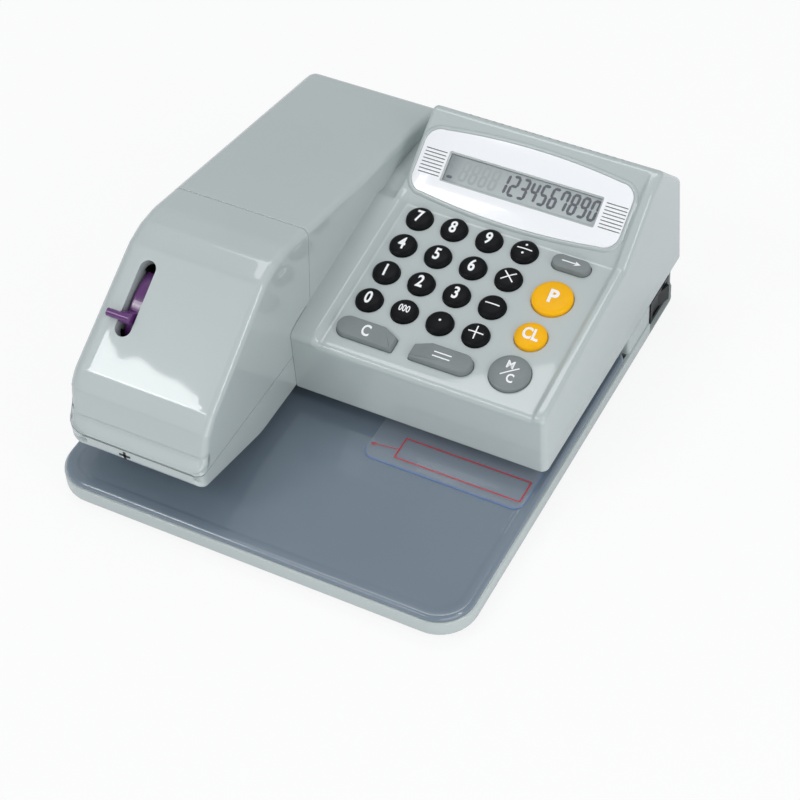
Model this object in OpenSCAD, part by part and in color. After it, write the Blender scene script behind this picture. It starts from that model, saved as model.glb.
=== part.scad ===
// Desk check writer: a keyboard and display case beside a print head, both
// standing over a flat paper tray. Origin at the middle of the footprint,
// on the surface it stands on. +X right, +Y to the rear, +Z up.

/* [Base tray] */
// Width of the tray across the front
tray_w = 255; // [250:1:280]
// Depth from the tray's front edge to the rear of the case
case_d = 300; // [292:1:320]
// Height of the tray's outer wall
tray_h = 10.4; // [9.5:0.1:14]
// Corner radius of the tray at the front
tray_r = 22; // [10:1:30]
// Corner radius at the rear of the housings
rear_r = 10; // [5:1:14]
// Inward lean of the upper walls, per unit of height
draft = 0.03; // [0.02:0.005:0.04]
// Wall thickness of the mouldings
wall = 2.5; // [2:0.1:3]
// How far the lower housing stops short of the case at the rear
rear_step = 10; // [6:1:14]
// Height of the rubber feet
foot_h = 3; // [2:0.5:5]
// Radius of the rubber feet
foot_r = 8; // [6:0.5:10]
// Distance of the feet from the tray's edges
foot_inset = 26; // [22:1:34]
// Depth of the setback that the power switch sits in
switch_setback = 3.5; // [2:0.5:5]

/* [Paper deck] */
// Thickness of the deck plate
deck_t = 2.6; // [2:0.1:3.2]
// How far the deck's edge stands back from the tray's edge
deck_inset = 1.2; // [0.5:0.1:2]
// Height of the paper slot between the deck and the case
throat_h = 10.4; // [9.8:0.1:12]
// Depth of the paper slot behind the case's front
throat_d = 113; // [100:1:116]
// Thickness of the clear guide plate
guide_t = 1; // [0.8:0.1:1.5]
// Width of the clear guide plate
guide_w = 97; // [80:1:98]
// Depth of the clear guide plate
guide_d = 52; // [40:1:60]

/* [Keyboard case] */
// Distance of the case's front face from the tray's front edge
kb_setback = 109; // [106:1:112]
// Height of the key panel's front edge above the case's underside
kb_front_h = 35.2; // [33:0.2:38]
// Slope of the key panel
kb_tilt = 8; // [6:0.5:9]
// Distance along the case before the display slope begins
kb_run = 110; // [108:1:112]
// Height of the left rail above the key panel
rail_h = 3.5; // [2.5:0.1:4.5]
// Width of the left rail's crest
rail_w = 11; // [9:0.5:12]
// Height of the right border above the key panel
border_h = 2.2; // [1.5:0.1:3]

/* [Keys] */
// Spacing of the round keys from left to right
key_px = 22; // [21:0.1:22.4]
// Spacing of the round keys along the slope
key_py = 21; // [20:0.1:21.4]
// Radius of the round black keys
key_r = 7.8; // [7:0.1:8.6]
// Height of the key tops above the panel
key_rise = 3.5; // [3:0.1:4.5]
// Crown of the key tops
key_crown = 1.2; // [0.6:0.1:1.6]
// Travel of a key
key_travel = 2.4; // [1.8:0.1:2.6]
// Clearance round each key
key_gap = 0.4; // [0.3:0.05:0.8]
// Width of the collar that holds a key in the panel
key_lip = 0.9; // [0.8:0.05:1]
// Radius of the large print key
print_key_r = 11.8; // [11:0.1:12.6]
// Radius of the clear key
clear_key_r = 9.2; // [9:0.1:10.2]
// Radius of the memory key
memory_key_r = 11.8; // [11:0.1:13]
// Length of the wide keys
wide_key_l = 36.3; // [32:0.1:37]
// Height of the wide keys along the slope
wide_key_w = 13.4; // [12:0.1:14]

/* [Display] */
// Slope of the display face
disp_tilt = 33; // [30:0.5:36]
// Length of the display face along its slope
disp_l = 57; // [56:0.5:58]
// Width of the display bezel
bezel_w = 129.6; // [120:0.1:130]
// Height of the bezel at its middle
bezel_h = 46.2; // [43:0.1:48]
// Thickness of the bezel
bezel_t = 1.6; // [1.2:0.1:2.4]
// Width of the display window
lcd_w = 96.4; // [80:0.5:98]
// Height of the display window
lcd_h = 18.6; // [16:0.1:22]

/* [Print head] */
// Width of the print head
head_w = 93.2; // [91:0.1:95]
// How far the head's left wall stands in from the tray's edge
head_inset = 5.5; // [5:0.1:7]
// How far the head's front stands back from the tray's front edge
head_setback = 9.5; // [6:0.1:12]
// Height of the seam between the head's base and its cover
seam_h = 50; // [48:0.5:52]
// Rise of the head's underside at its front, above the paper slot
lift_h = 14; // [10:0.5:16]
// Slope of the head's front face
face_tilt = 32.4; // [31:0.1:34]
// Slope of the head and tower roof down to the rear
roof_tilt = 11.6; // [10:0.1:13]
// Length of the lever's slot along the face
slot_l = 44.6; // [42:0.1:48]
// Width of the lever's slot
slot_w = 10; // [9:0.1:12]

/* [Mechanism] */
// Radius of the type wheel
wheel_r = 17; // [16:0.1:17.4]
// Width of the type wheel
wheel_w = 12; // [10:0.1:12.4]
// Number of characters round the type wheel
wheel_n = 16; // [12:1:16]
// Radius of the ink roller
ink_r = 9; // [7:0.1:9.4]
// Gear module
gear_m = 0.8; // [0.78:0.01:0.82]
// Teeth on the small gears
small_n = 12; // [12:1:12]
// Teeth on the motor gears
large_n = 24; // [24:2:24]
// Radius of the feed roller
feed_r = 4.8; // [4.4:0.1:4.9]
// Radius of the pinch roller
pinch_r = 5; // [4.6:0.1:5.2]
// Length of the feed and pinch rollers
roller_l = 14; // [12:0.5:15]
// Radius of the motors
motor_r = 12; // [10:0.2:12.4]
// Radius of the shafts in the print frame
shaft_r = 2; // [1.6:0.1:2.2]
// Radius of the lever's shaft
lever_shaft_r = 3; // [2.6:0.1:3.4]
// Radius of the lever's curved shutter
shutter_r = 32; // [30:0.1:32.4]
// Thickness of the frame plates
plate_t = 2; // [1.6:0.1:2.2]
// Running clearance of shafts in their bores
run_gap = 0.05; // [0.03:0.01:0.08]
// Gap between pieces that stay clear of each other
gap = 0.3; // [0.25:0.05:0.35]

/* [Hidden] */
$fn = 64;
eps = 0.01;

// Outer limits and levels
x_r = tray_w / 2;
x_l = -x_r;
y_f = -case_d / 2;
y_b = case_d / 2;
z_floor = foot_h + wall;
z_tray = foot_h + tray_h;
z_deck = z_tray + deck_t;
z_case = z_deck + throat_h;
y_low = y_b - rear_step;
draft_in = 1.5;

// Print head outline
kb_y = y_f + kb_setback;
throat_y = kb_y + throat_d;
head_x0 = x_l + head_inset;
head_x1 = head_x0 + head_w;
head_y = y_f + head_setback;
seam_y = kb_y + 21;
seam_top_y = seam_y + 11.7;
face_y0 = head_y + 30.5;
face_z0 = seam_h + 34.6;
face_run = 54;
face_z1 = face_z0 + face_run * tan(face_tilt);
roof_y0 = face_y0 + face_run + 27;
roof_z0 = face_z1 + 3.7;
kink_y = kb_y - 40;

// Keyboard case outline, front to rear
kb_x1 = x_r - draft_in;
kb_ta = tan(kb_tilt);
fold_y = 8;
fold_z = z_case + kb_front_h + 4.5;
disp_y = kb_y + kb_run;
disp_z = fold_z + (kb_run - fold_y) * kb_ta;
crest_y = disp_y + disp_l * cos(disp_tilt);
crest_z = disp_z + disp_l * sin(disp_tilt);
disp_x0 = head_x1 + 9;
rear_top = 84;

// Key panel: keys are placed by column and distance along the slope
key0 = [head_x1 + 28.5, 40];
flange_t = 1.5;
pad_gap = key_travel + 0.4;
pad_t = 1.5;
board_t = 1.6;
pad_z = -(wall + gap + flange_t + pad_gap + pad_t);
side_x = key0[0] + 3 * key_px + 28.4;
stem_z = pad_z + key_travel + 0.1;

// Lever: its shaft lies below the middle of the slot
slot_x = head_x0 + 22.5;
slot_y = face_y0 + 29;
slot_z = face_z0 + 29 * tan(face_tilt);
lever_r = 36;
lever_y = slot_y + lever_r * sin(face_tilt);
lever_z = slot_z - lever_r * cos(face_tilt);
lever_w = 7;
lever_swing = 17;
thumb_r = 41;

// Type wheel, on the line where the amount is printed
wheel_x = head_x0 + 43.7;
wheel_y = kb_y - 9;
wheel_z = z_deck + 3 + wheel_r;
ink_a = 50;
ink_d = wheel_r + ink_r + gap;
ink_y = wheel_y + ink_d * cos(ink_a);
ink_z = wheel_z + ink_d * sin(ink_a);
mesh_gap = 0.1;
gear_d = gear_m * (small_n + large_n) / 2 + mesh_gap;
gear_w = 4;
drive_a = 135;
motor_y = wheel_y + gear_d * cos(drive_a);
motor_z = wheel_z + gear_d * sin(drive_a);
frame_z = z_case + wall;
plate_l = wheel_x - 11.7;
plate_m = wheel_x + 10.3;
plate_r = wheel_x + 24.3;
gear_x = wheel_x + 16.3;

// Feed and pinch rollers, behind the type wheel
feed_y0 = kb_y + 28;
feed_z = z_deck - feed_r;
feed_shaft_r = 1.5;
pinch_z = z_deck + gap + pinch_r;
pivot_y = feed_y0 + roller_l + 19;
pivot_z = frame_z + 7.1;
tail_x0 = plate_l - 5;
tail_w = 3;
tail_z = lever_z + lever_shaft_r + 0.7;
feed_end_y = throat_y + 16;

// Power switch in the right wall
switch_y = y_low - 20;
switch_z = z_floor + 8.5;
switch_w = 24;
switch_d = 10.4;
switch_h = 15;
rocker_x = x_r - switch_setback - 3.3;
rocker_tilt = 10;

// Screw posts that join the lower housing and the case
post_r = 4.5;
posts = [[x_l + 15, throat_y + 12], [x_l + 15, y_low - 8],
    [x_r - switch_setback - switch_d - post_r - 0.6, throat_y + 12],
    [x_r - 28, y_low - 8]];
screw_r = 1.9;

// Colours
body_c = [0.74, 0.78, 0.78];
deck_c = [0.45, 0.5, 0.56];
metal_c = [0.75, 0.76, 0.78];

// A rectangle with round corners: rl at the front left, rf at the front
// right and rr at the rear
module plan(x0, x1, y0, y1, rf, rr, rl = undef) {
    r1 = is_undef(rl) ? rf : rl;
    polygon([[x0, y0 + r1], [x0 + r1, y0 + r1], [x0 + r1, y0],
        [x1 - rf, y0], [x1 - rf, y0 + rf], [x1, y0 + rf],
        [x1, y1 - rr], [x1 - rr, y1 - rr], [x1 - rr, y1],
        [x0 + rr, y1], [x0 + rr, y1 - rr], [x0, y1 - rr]]);
    translate([x0 + r1, y0 + r1]) circle(r1);
    translate([x1 - rf, y0 + rf]) circle(rf);
    for (x = [x0 + rr, x1 - rr]) translate([x, y1 - rr]) circle(rr);
}

// An outline in the YZ plane carried from x0 to x1
module side_form(x0, x1, points) {
    translate([x0, 0, 0]) rotate([90, 0, 90])
        linear_extrude(height = x1 - x0) polygon(points);
}

// The space between walls that lean inward from x0 and x1, set in by t
module lean_form(x0, x1, t) {
    h = case_d / 2;
    translate([0, case_d, z_case]) rotate([90, 0, 0])
        linear_extrude(height = 2 * case_d)
            polygon([[x0 + t - 10 * draft, -10], [x1 - t + 10 * draft, -10],
                [x1 - t - h * draft, h], [x0 + t + h * draft, h]]);
}

// A round bar along X, and one along Y
module bar_x(x0, x1, y, z, r) {
    translate([x0, y, z]) rotate([0, 90, 0]) cylinder(h = x1 - x0, r = r);
}
module bar_y(y0, y1, x, z, r) {
    translate([x, y0, z]) rotate([-90, 0, 0]) cylinder(h = y1 - y0, r = r);
}

// Moves its children onto the key panel: x across, s along the slope from
// the case's front, with z square to the panel and zero on its surface
module on_panel(x, s) {
    translate([0, kb_y, fold_z - fold_y * kb_ta]) rotate([kb_tilt, 0, 0])
        translate([x, s, 0]) children();
}
// The same for the display face, with s from its lower edge
module on_display(x, s) {
    translate([0, disp_y, disp_z]) rotate([disp_tilt, 0, 0])
        translate([x, s, 0]) children();
}
// The same for the head's front face, with s from the slot's middle
module on_face(x, s) {
    translate([0, slot_y, slot_z]) rotate([face_tilt, 0, 0])
        translate([x, s, 0]) children();
}

// Places of the keys on the panel
function col(i) = key0[0] + i * key_px;
function row(j) = key0[1] + j * key_py;
wide_s = row(0) - 21.2;
wide_c_x = key0[0] - 8.8;
wide_e_x = wide_c_x + wide_key_l + 10.4;
print_s = row(0) + 38.6;
clear_s = row(0) + 10.4;
memory_s = row(0) - 16.4;
arrow_s = row(0) + 63.8;

// Outlines of the wide keys, grown by g
module wide_outline(g, flip) {
    r = wide_key_w / 2;
    cut_x = 9.5;
    cut_y = 4.3;
    mirror([flip ? 1 : 0, 0]) translate([-wide_key_l / 2, 0]) {
        translate([r, 0]) circle(r + g);
        translate([r, -r - g]) polygon([[0, 0], [wide_key_l - r + g, 0],
            [wide_key_l - r + g, wide_key_w + 2 * g - cut_y],
            [wide_key_l - r + g - cut_x, wide_key_w + 2 * g],
            [0, wide_key_w + 2 * g]]);
    }
}
module arrow_outline(g) {
    l = 13.4;
    r = 4.9;
    for (x = [-l / 2, l / 2]) translate([x, 0]) circle(r + g);
    translate([-l / 2, -r - g]) square([l, 2 * (r + g)]);
}

// Side outline of the keyboard and display, set in by t
function case_side(t) = [
    [kb_y + t, t > 0 ? z_case - 1 : z_case],
    [kb_y + 1 + t, fold_z - 4.6 - t],
    [kb_y + 3 + t, fold_z - 2.2 - t],
    [kb_y + fold_y, fold_z - t / cos(kb_tilt)],
    [disp_y + t * tan((disp_tilt - kb_tilt) / 2),
        disp_z - t / cos(kb_tilt)],
    [crest_y, crest_z - t / cos(disp_tilt)],
    [crest_y + 3.7, crest_z + 0.8 - t * 1.1],
    [crest_y + 6.7, crest_z - 1 - t * 1.3],
    [y_b - 4.5, rear_top + 4.5 - t * 1.3],
    [y_b - 1.7 - t, rear_top - t],
    [y_b - t, t > 0 ? z_case - 1 : z_case]];

// Side outline of the floor of the channel between tower and display
function channel_side(t) = [
    [kb_y + t, t > 0 ? z_case - 1 : z_case],
    [kb_y + 1 + t, fold_z - 4.6 - t],
    [kb_y + 3 + t, fold_z - 2.2 - t],
    [kb_y + fold_y, fold_z - t],
    [disp_y, disp_z - t],
    [disp_y + 20, disp_z + rail_h - t],
    [y_b - 1.6 - t, rear_top - 4 - t],
    [y_b - t, t > 0 ? z_case - 1 : z_case]];

// Side outline of the tower, set in by t
function roof_z(y) = roof_z0 - (y - roof_y0) * tan(roof_tilt);
function tower_side(t) = [
    [t > 0 ? seam_y - 1 : seam_y, t > 0 ? z_case - 1 : z_case],
    [t > 0 ? seam_y - 1 : seam_y, seam_h - t / 2],
    [t > 0 ? seam_top_y - 1 : seam_top_y, roof_z(seam_top_y) - t],
    [y_b - 9, roof_z(y_b - 9) - t],
    [y_b - 4 - t / 2, rear_top - 1 - t],
    [y_b - 1.5 - t, rear_top - 6 - t],
    [y_b - t, t > 0 ? z_case - 1 : z_case]];

// Side outline of the head's cover, set in by t
function head_side(t) = [
    [head_y + 0.5 + t, t > 0 ? seam_h - 1 : seam_h],
    [head_y + 0.5 + t, seam_h + 2 - t / 3],
    [head_y + 6 + t, seam_h + 7 - t / 3],
    [head_y + 8.5 + t, seam_h + 14 - t / 3],
    [head_y + 12 + t, seam_h + 21 - t / 2],
    [head_y + 18.5 + t * 0.7, seam_h + 27.5 - t * 0.7],
    [face_y0, face_z0 - t / cos(face_tilt)],
    [face_y0 + face_run, face_z1 - t / cos(face_tilt)],
    [face_y0 + face_run + 6, face_z1 + 2.6 - t * 1.08],
    [face_y0 + face_run + 13, roof_z0 - t],
    [roof_y0, roof_z0 - t],
    [t > 0 ? seam_top_y + 1 : seam_top_y, roof_z(seam_top_y) - t],
    [t > 0 ? seam_y + 1 : seam_y, t > 0 ? seam_h - 1 : seam_h]];

// Lower shell: the shallow tray in front and the lower housing behind
module base_tray() {
    color(body_c) difference() {
        union() {
            difference() {
                union() {
                    translate([0, 0, foot_h])
                        linear_extrude(height = tray_h)
                            plan(x_l, x_r, y_f, y_low, tray_r, rear_r);
                    translate([0, 0, foot_h])
                        linear_extrude(height = z_case - foot_h)
                            plan(head_x0, x_r - 1, throat_y, y_low, wall,
                                rear_r);
                }
                translate([0, 0, z_floor]) linear_extrude(height = tray_h)
                    plan(x_l + wall, x_r - wall, y_f + wall,
                        throat_y - gap, tray_r - wall, 1);
                translate([0, 0, z_floor]) linear_extrude(height = z_case)
                    plan(head_x0 + wall, x_r - 1 - wall - switch_setback,
                        throat_y + wall, y_low - wall, 1, rear_r - wall);
            }
            for (p = posts) translate([p[0], p[1], foot_h + 1])
                cylinder(h = z_case - foot_h - 1, r = post_r);
            for (y = feed_bearings) translate([wheel_x - 5, y - 1.5,
                z_floor - eps]) cube([10, 3, z_tray - z_floor - gap]);
            for (y = deck_ribs, x = deck_rib_x) translate([x - 20, y,
                z_floor - eps]) cube([40, wall, z_tray - z_floor + eps]);
        }
        translate([x_r - switch_setback, recess_y, recess_z])
            cube([20, recess_l, z_case]);
        translate([x_r - switch_setback - wall - 4, switch_y - switch_w / 2,
            switch_z - switch_h / 2]) cube([20, switch_w, switch_h]);
        translate([inlet_x - inlet_w / 2, y_low - wall - 1,
            inlet_z - inlet_h / 2]) cube([inlet_w, wall + 2, inlet_h]);
        bar_y(throat_y - 1, throat_y + wall + 1, wheel_x, feed_z, 3);
        bar_y(feed_bearings[0] - 3, throat_y - 3, wheel_x, feed_z,
            feed_shaft_r + run_gap);
        for (p = posts) translate([p[0], p[1], foot_h - 1])
            cylinder(h = 3.5, r = 4);
        for (p = posts) translate([p[0], p[1], foot_h - 1])
            cylinder(h = z_case, r = screw_r + gap);
        for (p = feet) translate([p[0], p[1], foot_h - 1])
            cylinder(h = wall + 2, r = foot_stem);
    }
}
recess_y = throat_y + 28;
recess_z = foot_h + wall;
recess_l = y_low - recess_y - 5;
feet = [[x_l + foot_inset, y_f + foot_inset],
    [x_r - foot_inset, y_f + foot_inset],
    [x_l + foot_inset, y_low - foot_inset],
    [x_r - foot_inset - 14, y_low - foot_inset]];
foot_stem = 3;
feed_bearings = [feed_y0 - 4, feed_y0 + roller_l + 4, throat_y - 8];
deck_ribs = [y_f + 30, y_f + 70, throat_y - 30];
deck_rib_x = [-45, 25, 95];
inlet_x = x_r - 55.5;
inlet_w = 25;
inlet_h = 14;
inlet_z = z_floor + 11;

// Glossy plate that the check slides over, closing the tray
module deck_plate() {
    color(deck_c) difference() {
        translate([0, 0, z_tray]) linear_extrude(height = deck_t)
            plan(x_l + deck_inset, x_r - deck_inset, y_f + deck_inset,
                throat_y - gap, tray_r - deck_inset, 1);
        translate([wheel_x - feed_r - gap, feed_y0 - gap, z_tray - 1])
            cube([2 * (feed_r + gap), roller_l + 2 * gap, deck_t + 2]);
        translate([wheel_x - anvil_w / 2 - gap, wheel_y - anvil_d / 2 - gap,
            z_tray - 1])
            cube([anvil_w + 2 * gap, anvil_d + 2 * gap, deck_t + 2]);
    }
}
anvil_w = 10;
anvil_d = 8;

// Four soft feet, each with a stem up into the tray's floor
module rubber_feet() {
    color([0.12, 0.12, 0.13]) for (p = feet) translate([p[0], p[1], 0]) {
        rotate_extrude() polygon([[0, 0], [foot_r - 0.8, 0], [foot_r, 0.8],
            [foot_r - 0.6, foot_h], [foot_stem - 0.1, foot_h],
            [foot_stem - 0.1, foot_h + wall], [0, foot_h + wall]]);
    }
}

// Four screws up through the lower housing into the case
module case_screws() {
    color(metal_c) for (p = posts) translate([p[0], p[1], foot_h + 0.3])
        rotate_extrude() polygon([[0, 0], [3.6, 0], [3.6, 2.2],
            [screw_r, 2.2], [screw_r, z_case + 8 - foot_h],
            [0, z_case + 9 - foot_h]]);
}

// The head's side of the seam, with its rear edge moved back by t
function seam_cut(t) = [[kb_y - 5, 0], [seam_y + t, 0],
    [seam_y + t, seam_h], [seam_top_y + t, roof_z(seam_top_y)],
    [seam_top_y + t, case_d], [kb_y - 5, case_d]];

// Upper shell: tower, key panel and display housing in one moulding
module case_outer() {
    difference() {
        intersection() {
            union() {
                side_form(disp_x0, kb_x1, case_side(0));
                side_form(head_x1 - wall, disp_x0 + eps, channel_side(0));
                rails();
            }
            lean_form(head_x1 - 2 * head_w, kb_x1, 0);
        }
        intersection() {
            side_form(head_x1 - head_w, head_x1 + 5, seam_cut(0));
            lean_form(head_x1 - 2 * head_w, head_x1 + gap, 0);
        }
    }
    intersection() {
        side_form(head_x0, head_x1, tower_side(0));
        lean_form(head_x0, head_x1, 0);
    }
}
module case_inner() {
    difference() {
        intersection() {
            union() {
                side_form(disp_x0 + wall, kb_x1 - wall, case_side(wall));
                side_form(head_x1 - 2 * wall, disp_x0 + wall + eps,
                    channel_side(wall));
            }
            lean_form(head_x1 - 2 * head_w, kb_x1, wall);
        }
        intersection() {
            side_form(head_x1 - head_w, head_x1 + 5, seam_cut(wall));
            lean_form(head_x1 - 2 * head_w, head_x1 + gap + wall, 0);
        }
    }
    intersection() {
        side_form(head_x0, head_x1, tower_side(wall));
        lean_form(head_x0, head_x1, wall);
    }
}
module rails() {
    l = kb_run - 2.5;
    intersection() {
        translate([0, kb_y, fold_z - fold_y * kb_ta]) rotate([kb_tilt, 0, 0])
            translate([0, 3 + l, 0]) rotate([90, 0, 0])
                linear_extrude(height = l) {
                    polygon([[head_x1 - 2, -3], [head_x1 - 2, rail_h],
                        [head_x1 + rail_w, rail_h],
                        [head_x1 + rail_w + 7.5, -1],
                        [head_x1 + rail_w + 7.5, -3]]);
                    polygon([[kb_x1 - 10, -3], [kb_x1 - 10, -1],
                        [kb_x1 - 5.5, border_h], [kb_x1 - 3, border_h],
                        [kb_x1 - 1.8, 0.8], [kb_x1 - 1.8, -3]]);
                }
        side_form(head_x1 - 3, kb_x1 + 1, [[kb_y + 2, fold_z - 6],
            [kb_y + 2.5, fold_z - 3], [kb_y + 9, fold_z + rail_h - 0.5],
            [kb_y + 14, fold_z + 20], [disp_y + 20, crest_z],
            [disp_y + 20, fold_z - 6]]);
    }
}
module all_keys(g) {
    d = 30;
    for (i = [0:3], j = [0:3]) on_panel(col(i), row(j))
        translate([0, 0, -d / 2]) cylinder(h = d, r = key_r + g);
    on_panel(side_x, print_s) translate([0, 0, -d / 2])
        cylinder(h = d, r = print_key_r + g);
    on_panel(side_x, clear_s) translate([0, 0, -d / 2])
        cylinder(h = d, r = clear_key_r + g);
    on_panel(side_x, memory_s) translate([0, 0, -d / 2])
        cylinder(h = d, r = memory_key_r + g);
    on_panel(wide_c_x + wide_key_l / 2, wide_s) translate([0, 0, -d / 2])
        linear_extrude(height = d) wide_outline(g, false);
    on_panel(wide_e_x + wide_key_l / 2, wide_s) translate([0, 0, -d / 2])
        linear_extrude(height = d) wide_outline(g, true);
    on_panel(side_x, arrow_s) translate([0, 0, -d / 2])
        linear_extrude(height = d) arrow_outline(g);
}
lcd_x = key0[0] + 49.2;
lcd_s = 27.8;
bezel_x = key0[0] + 48.8;
bezel_s = 28.6;
board_posts = [[wide_c_x - 2, row(0) - 8], [wide_c_x - 2, row(3) + 6],
    [col(3) + 12.2, row(0) - 12], [col(3) + 12.2, row(3) + 8]];
module upper_case() {
    color(body_c) difference() {
        union() {
            intersection() {
                union() {
                    difference() {
                        case_outer();
                        case_inner();
                    }
                    translate([head_x0 + 1, y_low - wall, z_case])
                        cube([kb_x1 - head_x0 - 2, y_b - y_low + 1, wall]);
                    intersection() {
                        for (p = posts) translate([p[0], p[1], z_case])
                            cylinder(h = case_d / 2, r = post_r);
                        case_outer();
                    }
                }
                translate([0, 0, foot_h]) linear_extrude(height = case_d)
                    plan(head_x0, kb_x1, kb_y, y_b, 4, case_r, 1);
            }
            for (p = board_posts) on_panel(p[0], p[1]) translate([0, 0,
                pad_z]) cylinder(h = pad_t + eps, r = 2.2);
            for (p = board_posts) on_panel(p[0], p[1])
                translate([0, 0, pad_z + pad_t])
                    cylinder(h = -pad_z - pad_t - wall + 1, r = 3);
        }
        all_keys(key_gap);
        for (p = posts) translate([p[0], p[1], z_case - 1])
            cylinder(h = 11, r = screw_r);
        for (p = board_posts) on_panel(p[0], p[1])
            translate([0, 0, pad_z - 1]) cylinder(h = 7, r = board_screw_r);
        on_display(lcd_x, lcd_s) translate([-lcd_w / 2 + 1, -lcd_h / 2 + 1,
            -wall - 2]) cube([lcd_w - 2, lcd_h - 2, wall + 4]);
        on_display(bezel_x, bezel_s) translate([0, 0, -bezel_t / 2])
            linear_extrude(height = bezel_t) bezel_outline(gap / 2);
        for (i = [0:vent_n - 1]) translate([disp_x0 + 22 + i * vent_p,
            crest_y + 6.5, crest_z - 6]) rotate([-41, 0, 0])
                cube([vent_p / 2, 9, 4]);
    }
}
case_r = 4.5;
vent_n = 20;
vent_p = 5;
board_screw_r = 1.1;

// Bezel outline: arched above and below, with round ends, grown by g
module bezel_outline(g) {
    arc_r = 400;
    end_h = bezel_h - 10;
    intersection() {
        translate([0, bezel_h / 2 - arc_r]) circle(arc_r + g, $fn = 360);
        translate([0, arc_r - bezel_h / 2]) circle(arc_r + g, $fn = 360);
        translate([-bezel_w / 2 - g, -bezel_h / 2 - g])
            square([bezel_w + 2 * g, bezel_h + 2 * g]);
        union() {
            translate([-bezel_w / 2 + 9, -bezel_h / 2 - g])
                square([bezel_w - 18, bezel_h + 2 * g]);
            for (x = [-1, 1], y = [-1, 1])
                translate([x * (bezel_w / 2 - 9), y * (end_h / 2 - 9)])
                    circle(9 + g);
            translate([-bezel_w / 2 - g, -end_h / 2 + 9])
                square([bezel_w + 2 * g, end_h - 18]);
        }
    }
}

// White frame round the display window
module display_bezel() {
    color([0.95, 0.96, 0.97]) on_display(bezel_x, bezel_s) difference() {
        translate([0, 0, -bezel_t / 2]) linear_extrude(height = bezel_t)
            bezel_outline(0);
        translate([lcd_x - bezel_x - lcd_w / 2, lcd_s - bezel_s - lcd_h / 2,
            -bezel_t]) cube([lcd_w, lcd_h, 2 * bezel_t]);
    }
}

// Clear pane in the bezel
module display_window() {
    color([0.85, 0.9, 0.9, 0.5]) on_display(lcd_x, lcd_s)
        translate([-lcd_w / 2 + 0.1, -lcd_h / 2 + 0.1, -bezel_t / 2])
            cube([lcd_w - 0.2, lcd_h - 0.2, bezel_t - 0.4]);
}

// Liquid crystal display with its frame, behind the window
module lcd_module() {
    color([0.55, 0.58, 0.57]) on_display(lcd_x, lcd_s) {
        translate([-lcd_w / 2 + 1.3, -lcd_h / 2 + 1.3, -wall - 0.1])
            cube([lcd_w - 2.6, lcd_h - 2.6, wall - bezel_t / 2]);
        translate([-lcd_w / 2 - 3, -lcd_h / 2 - 4, -wall - 4.2])
            cube([lcd_w + 6, lcd_h + 8, 4.2 - 0.05]);
    }
}

// Circuit board under the keys
board_x0 = head_x1 + 15;
board_x1 = kb_x1 - 8;
board_s0 = 7;
board_s1 = row(3) + 11;
module main_board() {
    color([0.1, 0.4, 0.25]) difference() {
        on_panel(board_x0, board_s0) translate([0, 0, pad_z - board_t])
            cube([board_x1 - board_x0, board_s1 - board_s0, board_t]);
        for (p = board_posts) on_panel(p[0], p[1])
            translate([0, 0, pad_z - 3]) cylinder(h = 6,
                r = board_screw_r + 0.1);
    }
    color([0.15, 0.15, 0.16]) on_panel(col(1), row(1))
        translate([-8, -8, pad_z - board_t - 2.4]) cube([16, 16, 2.4 + eps]);
}

// Four screws that hold the board to the case's posts
module board_screws() {
    color(metal_c) for (p = board_posts) on_panel(p[0], p[1])
        translate([0, 0, pad_z - board_t - 1.4]) rotate_extrude()
            polygon([[0, 0], [2.4, 0], [2.4, 1.4], [board_screw_r, 1.4],
                [board_screw_r, 7], [0, 8]]);
}

// Rubber sheet that springs the keys back
module key_pad() {
    color([0.6, 0.61, 0.62]) difference() {
        on_panel(board_x0 + 2, board_s0 + 1) translate([0, 0, pad_z + eps])
            cube([board_x1 - board_x0 - 4, board_s1 - board_s0 - 2,
                pad_t - 2 * eps]);
        for (p = board_posts) on_panel(p[0], p[1])
            translate([0, 0, pad_z - 3]) cylinder(h = 8, r = 2.5);
        key_stems(stem_r + gap);
    }
}
stem_r = 2;
module key_stems(r) {
    for (i = [0:3], j = [0:3]) on_panel(col(i), row(j))
        translate([0, 0, pad_z - 1]) cylinder(h = 4, r = r);
    for (s = [print_s, clear_s, memory_s, arrow_s]) on_panel(side_x, s)
        translate([0, 0, pad_z - 1]) cylinder(h = 4, r = r);
    for (x = [wide_c_x, wide_e_x]) on_panel(x + wide_key_l / 2, wide_s)
        translate([0, 0, pad_z - 1]) cylinder(h = 4, r = r);
}

// A round key: domed cap, collar under the panel and contact stem
module round_key(x, s, r, c) {
    low = -wall - gap - flange_t;
    color(c) on_panel(x, s) rotate_extrude() polygon(concat(
        [[0, stem_z], [stem_r, stem_z],
            [stem_r, low], [r + key_lip, low],
            [r + key_lip, low + flange_t], [r, low + flange_t],
            [r, key_rise - key_crown - 0.8],
            [r - 0.25, key_rise - key_crown - 0.2]],
        [for (i = [0:8]) let (a = i * 90 / 8)
            [(r - 0.8) * cos(a), key_rise - key_crown * (1 - sin(a))]]));
}
black_c = [0.07, 0.07, 0.08];
grey_c = [0.5, 0.52, 0.52];
orange_c = [0.95, 0.58, 0.08];
module grid_key(i, j) {
    round_key(col(i), row(j), key_r, black_c);
}
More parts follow.
